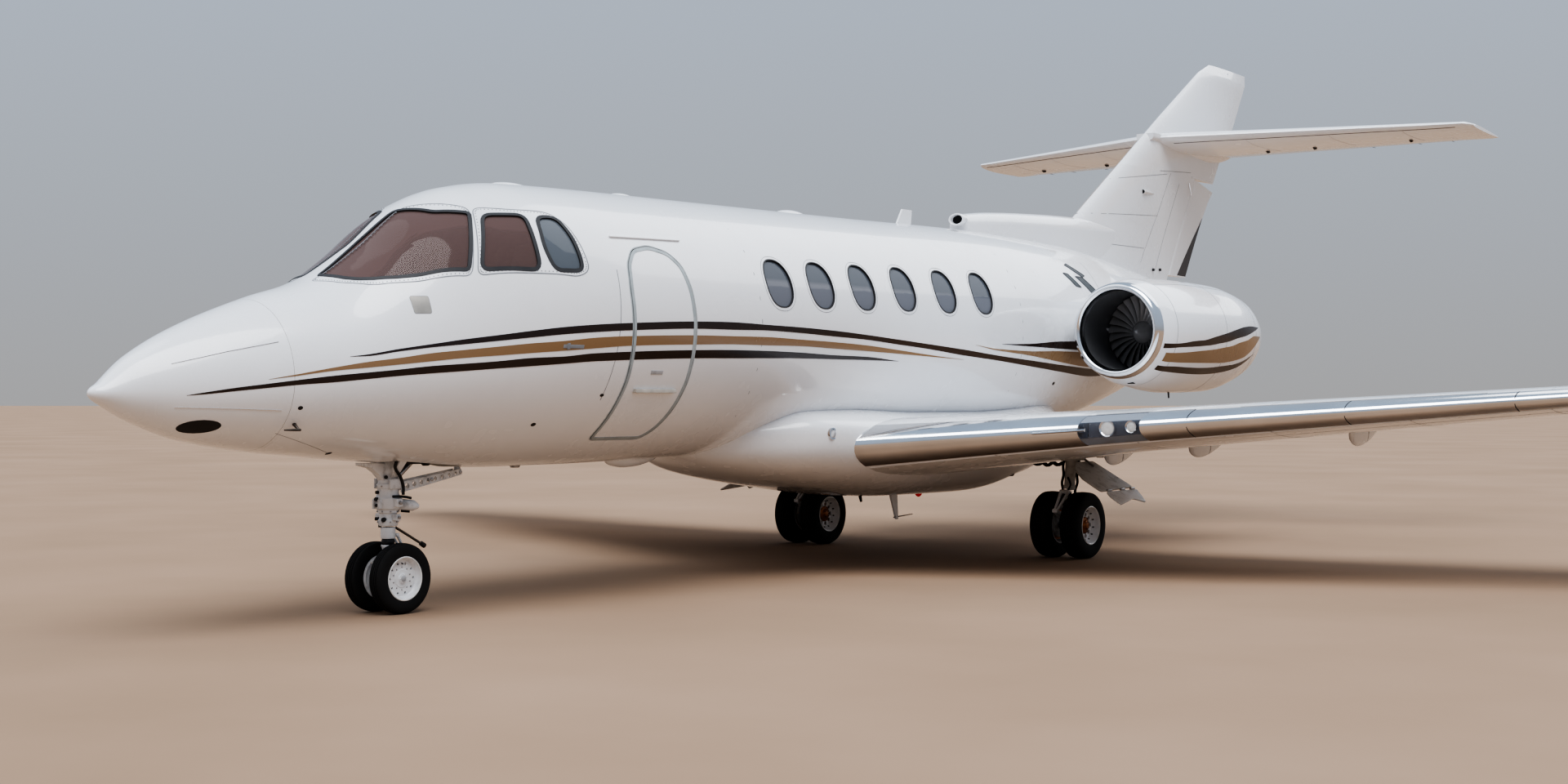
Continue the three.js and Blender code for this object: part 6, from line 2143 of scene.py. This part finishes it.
def make_tail_details():
    rows = []
    for station in steps(JUNCTION[0][0], JUNCTION[-1][0], 0.08):
        half, low = faired(JUNCTION, station)
        top = JUNCTION_TOP["rear" if station > JUNCTION_TOP["change"] else "front"]
        fall = max(0.0, JUNCTION_LINE - low)
        belly = [(half * math.cos(a), at(station), max(JUNCTION_LINE, low) - fall * math.sin(a))
                 for a in half_turn(12)]
        rows.append([(half, at(station), top)] + belly + [(-half, at(station), top)])
    Form().grid(rows, ends=True).make("tail_junction_fairing", "white", sharp=50)
    dark, wicks, rods = Form(), Form(), Form()
    for side in (1, -1):
        for span in HINGE_COVERS:
            station = line(ELEVATOR["hinge"], ELEVATOR["spans"], span) - 0.09
            low = on_wing_floor(span, station, TAILPLANE)
            path = [(side * span, at(station) + aft, low + rise)
                    for aft, rise in ((-0.05, 0.004), (0.0, -0.008), (0.045, -0.004))]
            dark.tube(path, [0.008, 0.016, 0.010])
        rods.tube([fin_side(13.90, 3.84, 0.004, side), fin_side(13.955, 3.70, 0.022, side)], 0.006, 8)
    for span in ELEVATOR_WICKS:
        tail_wick(wicks, TAILPLANE, span, [(-0.02, 0), (0.11, 0)], [0.004, 0.0012])
    dark.make("tail_hinge_covers", "hose")
    wicks.make_pair("elevator_wicks", "hose", "elevator")
    rods.make("rudder_rods", "chrome")


def make_rudder_shade():
    """Painted shade: a dark wedge on each side of the rudder near its lower trailing edge, in the stripes'
    dark brown.
    """
    low, high = RUDDER_EDGE_SHADE["heights"]
    form = Form()
    for side in (1, -1):
        rows = []
        for z in steps(low, high, 0.05):
            leading, chord = straight(FIN, z)[:2]
            trail = leading + chord
            width = RUDDER_EDGE_SHADE["width"] * (high - z) / (high - low) + 0.004
            rows.append([fin_side(trail - off, z, lift, side) for off, lift in (
                (width, -0.002), (width, 0.0012), (width / 2, 0.0012), (0.001, 0.0012), (0.001, -0.002))])
        form.grid(rows)
    form.make("rudder_edge_shade", "dark", "rudder_body", sharp=60)


def make_scoop():
    """The oval air intake at the front of the dorsal ridge."""
    radius, place = SCOOP["radius"], (0, at(SCOOP["station"]), SCOOP["z"])
    wide = Matrix.Diagonal((SCOOP["spread"], 1, 1, 1))
    lip = Form().lathe([(along, radius * out) for along, out in SCOOP_RING], place, (0, 1, 0), 40)
    lip.moved(wide).make("scoop_ring", "white", sharp=60)
    # A near-black disc a little way inside the ring: painted shade for the depth of the intake
    wall = radius * 0.73
    throat = Form().lathe([(0.05, 0.001), (0.05, wall), (0.06, wall), (0.06, 0.001)], place, (0, 1, 0), 32)
    throat.moved(wide).make("scoop_throat_shade", "black_and_shade")


NACELLE_JOINTS = (9.62, 10.62, 11.40)   # stations of the joints round the cowl
COWL_LINES = (-95, 62)                  # lines along it, in degrees up from its outboard line
# Painted shade behind each cowl's lower lip, a near-black block
COWL_SHADE = (9.51, -83)               # station, degrees


def make_nacelle_details():
    """Panel joints round each nacelle, and a near-black block under its front, behind the lip: painted shade.
    """
    seams, dark = Form(), Form()
    bead = [(across * 0.003, lift) for across, lift in SEAM_RING]
    for side in (1, -1):
        for station in NACELLE_JOINTS:
            rows = [[nacelle_skin(station + off, a, lift, side) for a in around(72)] for off, lift in bead]
            seams.grid(rows + rows[:1])
        for degrees in COWL_LINES:
            a = math.radians(degrees)
            seams.grid([[nacelle_skin(station, a + 2 * off, lift, side) for off, lift in bead]
                        for station in steps(9.63, 11.39, 0.11)], ends=True)
        spot = on_nacelle(*COWL_SHADE, 0.0, side)
        dark.block(spot - Vector((0.028, 0.0, 0.010)), spot + Vector((0.028, 0.060, 0.016)))
    seams.make("nacelle_seams", "seam")
    dark.make("nacelle_lip_shade", "black_and_shade")


# Seats

def cushion_form(width, length, depth, crown, count=14):
    """A soft block about its own middle: crowned faces, round edges and sides pulled in between corners."""
    form = Form()
    for face in range(6):
        axis, sign = face // 2, 1 if face % 2 else -1
        rows = []
        for i in range(count + 1):
            row = []
            for j in range(count + 1):
                point = [0.0, 0.0, 0.0]
                point[axis] = sign
                point[(axis + 1) % 3] = 2 * i / count - 1
                point[(axis + 2) % 3] = 2 * j / count - 1
                row.append(soft_corner(point, width, length, depth, crown))
            rows.append(row if sign > 0 else row[::-1])
        form.grid(rows, closed=False)
    return form


def soft_corner(point, width, length, depth, crown):
    """Turns a point of a cube into a point of the cushion."""
    x, y, z = point
    size = sum(abs(part) ** CUSHION_POWER for part in point) ** (1 / CUSHION_POWER)
    x, y, z = x / size, y / size, z / size
    pull = 0.012 * (1 - z * z)
    rise = crown * (1 - x * x) * (1 - y * y)
    return Vector((
        x * (width / 2 - pull * (1 - y * y)), y * (length / 2 - pull * (1 - x * x)),
        z * depth / 2 + math.copysign(rise, z) * min(1.0, abs(z) * 1.2),
    ))


# Cushions of one seat, about the floor under its middle, facing +Y: name, width, length, depth, crown,
# place of the middle, tilt in degrees
SEAT_CUSHIONS = [
    ("base", 0.40, 0.44, 0.115, 0.018, (0.0, 0.02, 0.330), 4.0),
    ("back", 0.40, 0.62, 0.105, 0.016, (0.0, -0.235, 0.660), 100.0),
    ("head", 0.27, 0.150, 0.080, 0.010, (0.0, -0.285, 1.035), 98.0),
]
# Outlines of the seat's shell and arm rests from the side: place fore and aft, height
SEAT_SHELL = [(-0.19, 0.20), (0.23, 0.22), (0.23, 0.262), (-0.15, 0.245), (-0.31, 1.03), (-0.345, 1.03)]
SEAT_ARM = [(-0.20, 0.26), (0.16, 0.28), (0.18, 0.50), (-0.24, 0.52)]
CUSHION_SWELL = 0.022
CUSHION_POWER = 7           # how square its corners are
WELT = {"inset": 0.012, "height": 0.30, "radius": 0.005}        # height as a share of the cushion's depth
# The sill below the cabin windows: distance in from the widest line, height
SILL = [(0.075, 1.98), (0.24, 1.97), (0.24, 1.93), (0.075, 1.91)]
# A pilot's control wheel: distance from the seat's middle, station, height
CONTROL_GRIP = [(-0.15, 2.38, 1.83), (-0.13, 2.37, 1.76), (0.0, 2.36, 1.74), (0.13, 2.37, 1.76),
                (0.15, 2.38, 1.83)]
CLOTH_FRAMES = 20
CLOTH_SPACING = 0.014
CLOTH_PRESSURE = 4.0


def swollen(mesh):
    """The cushion's mesh after a short inflation of its cloth, held close to its first shape."""
    piece = linked("cushion_cloth", mesh)
    remesh = piece.modifiers.new("remesh", "REMESH")
    remesh.mode, remesh.voxel_size = "VOXEL", CLOTH_SPACING
    even = as_shown(piece)
    piece.modifiers.clear()
    piece.data = even
    first = [vertex.co.copy() for vertex in even.vertices]
    cloth = piece.modifiers.new("cloth", "CLOTH")
    cloth.settings.use_pressure = True
    cloth.settings.uniform_pressure_force = CLOTH_PRESSURE
    cloth.settings.effector_weights.gravity = 0.0
    scene = bpy.context.scene
    for number in range(1, CLOTH_FRAMES + 1):
        scene.frame_set(number)
    shaped = as_shown(piece)
    for vertex, start in zip(shaped.vertices, first):
        move = vertex.co - start
        if move.length > CUSHION_SWELL:
            vertex.co = start + move.normalized() * CUSHION_SWELL
    bpy.data.objects.remove(piece)
    scene.frame_set(1)
    return shaped


def cushion_mesh(width, length, depth, crown):
    """A cushion that ends up at its stated size: it starts smaller when its cloth will swell it."""
    shrink = 0.016
    mesh = cushion_form(width - shrink, length - shrink, depth - shrink, crown).mesh("cushion")
    return swollen(mesh)


def piping(width, length, z, radius):
    """The sewn edge round a cushion."""
    edge = oval_outline((0, 0), width - 2 * WELT["inset"], length - 2 * WELT["inset"], 48, 0.35)
    points = [Vector((x, y, z)) for x, y in edge]
    rows = []
    up = Vector((0, 0, 1))
    for i, point in enumerate(points):
        ahead = (points[(i + 1) % len(points)] - points[i - 1]).normalized()
        rows.append(ring_of(point, ahead.cross(up), up, radius, 6))
    return Form().grid(rows + rows[:1])


def seat_frame():
    """Shell, arm rests and pedestal of one seat, about the floor under its middle, facing +Y."""
    shell, arms, foot = Form(), Form(), Form()
    shell.prism([(-0.20, y, z) for y, z in SEAT_SHELL], (0.40, 0, 0))
    for x in (-0.212, 0.212):
        arms.prism([(x - 0.016, y, z) for y, z in SEAT_ARM], (0.032, 0, 0))
    foot.block((-0.13, -0.16, 0.0), (0.13, 0.16, 0.05))
    foot.block((-0.10, -0.12, 0.05), (0.10, 0.12, 0.20))
    return shell, arms, foot


def make_seats():
    """Pilots' and cabin seats: padded leather on shells with arm rests, each on its pedestal."""
    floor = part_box("cabin_floor")[1][2]
    meshes = {name: cushion_mesh(*sizes) for name, *sizes, _, _ in SEAT_CUSHIONS}
    frame_forms = seat_frame()
    for group, seats, nodes in (
        ("pilot", PILOT_SEATS, ["pilot_seat_left", "pilot_seat_right"]),
        ("cabin", CABIN_SEATS, ["cabin_seats_left", "cabin_seats_right"]),
    ):
        shells, arms, pedestals, welts = Form(), Form(), Form(), Form()
        for number, (x, station, facing) in enumerate(seats, 1):
            for name, side in SIDES:
                place = Matrix.Translation((side * x, at(station), floor))
                if facing < 0:
                    place = place @ Matrix.Rotation(math.pi, 4, "Z")
                for form, part in zip((shells, arms, pedestals), frame_forms):
                    form.join(part.moved(place))
                for part, width, length, depth, _, spot, tilt in SEAT_CUSHIONS:
                    pose = place @ Matrix.Translation(spot) @ Matrix.Rotation(math.radians(tilt), 4, "X")
                    mesh = meshes[part].copy()
                    mesh.transform(pose)
                    cushion = settle(f"{group}_{part}_cushion_{number}_{name}", mesh, "leather", sharp=180)
                    welt = piping(width, length, WELT["height"] * depth, WELT["radius"])
                    welts.join(welt.moved(pose))
        shells.make(f"{group}_seat_shells", "liner", replaces=nodes, bevel=0.010)
        arms.make(f"{group}_seat_arms", "leather", bevel=0.010)
        pedestals.make(f"{group}_seat_pedestals", "steel", bevel=0.010)
        welts.make(f"{group}_seat_welts", "leather")


def make_cabin_fittings():
    """Control wheels, screens and a sill below the cabin windows."""
    sills, screens, wheels = Form(), Form(), Form()
    for side in (1, -1):
        rows = []
        for station in steps(4.45, 8.80, 0.4):
            half = hull_row(station)[0]
            rows.append([(side * (half - inset), at(station), z) for inset, z in SILL])
        sills.grid(rows, ends=True)
        x = side * PILOT_SEATS[0][0]
        for off in (-0.13, 0.13):
            screens.block((x + off - 0.105, at(2.200), 1.83), (x + off + 0.105, at(2.212), 2.03))
        wheels.tube([(x, at(2.22), 1.72), (x, at(2.36), 1.74)], 0.014)
        hose(wheels, [(x + off, at(station), z) for off, station, z in CONTROL_GRIP], 0.014)
    sills.make("cabin_sills", "liner", bevel=0.006)
    screens.make("cockpit_screens", "black_and_shade", bevel=0.002)
    wheels.make("control_wheels", "panel")


# Plain CAD pieces that keep their shape and get a finish

KEPT = {
    "rear_bulkhead": "liner", "cabin_floor": "carpet", "instrument_panel": "panel",
    "nose_wheel_bay": "bay", "top_blade_antenna": "white", "belly_blade_antenna": "white",
}


def finish_kept_nodes():
    for node, finish in KEPT.items():
        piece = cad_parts[node]
        for slot in piece.material_slots:
            slot.material = MATERIAL[finish]


# Camera, light and floor

CAMERA = {"place": (9.471, -13.874, 1.368), "yaw": 52.76, "pitch": 0.26, "lens": 43.67, "sensor": 36.0}
FLOOR_REACH = 600.0
SKY = [(0.0, (0.55, 0.55, 0.56)), (0.2, (0.62, 0.70, 0.82)), (1.0, (0.62, 0.78, 1.0))]
SKY_STRENGTH = 0.62


def make_camera():
    data = bpy.data.cameras.new("camera")
    data.sensor_fit, data.sensor_width, data.lens = "HORIZONTAL", CAMERA["sensor"], CAMERA["lens"]
    data.clip_end = 500.0
    yaw, pitch = math.radians(CAMERA["yaw"]), math.radians(CAMERA["pitch"])
    ahead = Vector((-math.cos(yaw) * math.cos(pitch), math.sin(yaw) * math.cos(pitch), math.sin(pitch)))
    camera = linked("camera", data)
    camera.location = CAMERA["place"]
    camera.rotation_euler = ahead.to_track_quat("-Z", "Y").to_euler()
    bpy.context.scene.camera = camera


def make_floor():
    mesh = bpy.data.meshes.new("floor")
    corners = [(-1, -1), (1, -1), (1, 1), (-1, 1)]
    mesh.from_pydata([(x * FLOOR_REACH, y * FLOOR_REACH, 0) for x, y in corners], [], [(0, 1, 2, 3)])
    mesh.materials.append(floor_finish())
    linked("floor", mesh)


# Broad soft lights, far away: name, the way they come from, width in degrees, strength
LIGHTS = [
    ("key", (8.0, -8.0, 24.0), 50.0, 2.5),
    ("fill", (-14.0, -8.0, 20.0), 50.0, 0.5),
    ("rear", (4.0, 22.0, 18.0), 45.0, 0.7),
]


def make_lights():
    for name, source, width, strength in LIGHTS:
        data = bpy.data.lights.new(name, "SUN")
        data.angle, data.energy = math.radians(width), strength
        light = linked(name, data)
        light.location = source
        light.rotation_euler = (-Vector(source)).to_track_quat("-Z", "Y").to_euler()
    world = bpy.data.worlds.new("studio")
    world.use_nodes = True
    nodes, links = world.node_tree.nodes, world.node_tree.links
    coordinate, split = nodes.new("ShaderNodeTexCoord"), nodes.new("ShaderNodeSeparateXYZ")
    ramp = nodes.new("ShaderNodeValToRGB")
    links.new(coordinate.outputs["Generated"], split.inputs[0])
    links.new(split.outputs["Z"], ramp.inputs["Fac"])
    set_stops(ramp.color_ramp.elements, SKY)
    links.new(ramp.outputs["Color"], nodes["Background"].inputs["Color"])
    nodes["Background"].inputs["Strength"].default_value = SKY_STRENGTH
    bpy.context.scene.world = world
    bpy.context.scene.view_settings.look = "AgX - High Contrast"


make_camera()
make_floor()
make_lights()
make_fuselage()
make_radome()
make_glass()
make_window_trim()
make_stripes()
make_door()
make_wings()
make_belly()
make_fin()
make_tailplane()
make_dorsal()
make_nacelles()
make_nacelle_stripes()
make_fans()
make_engine_cores()
make_pylons()
make_all_wheels()
make_nose_gear()
make_main_gear()
make_main_gear_doors()
make_nose_doors()
make_skin_details()
make_left_side_details()
make_aerials()
make_probes()
make_lamps()
make_jack_pads()
make_flap_tracks()
make_wing_details()
make_fin_details()
make_tail_details()
make_rudder_shade()
make_scoop()
make_nacelle_details()
make_seats()
make_cabin_fittings()
finish_kept_nodes()
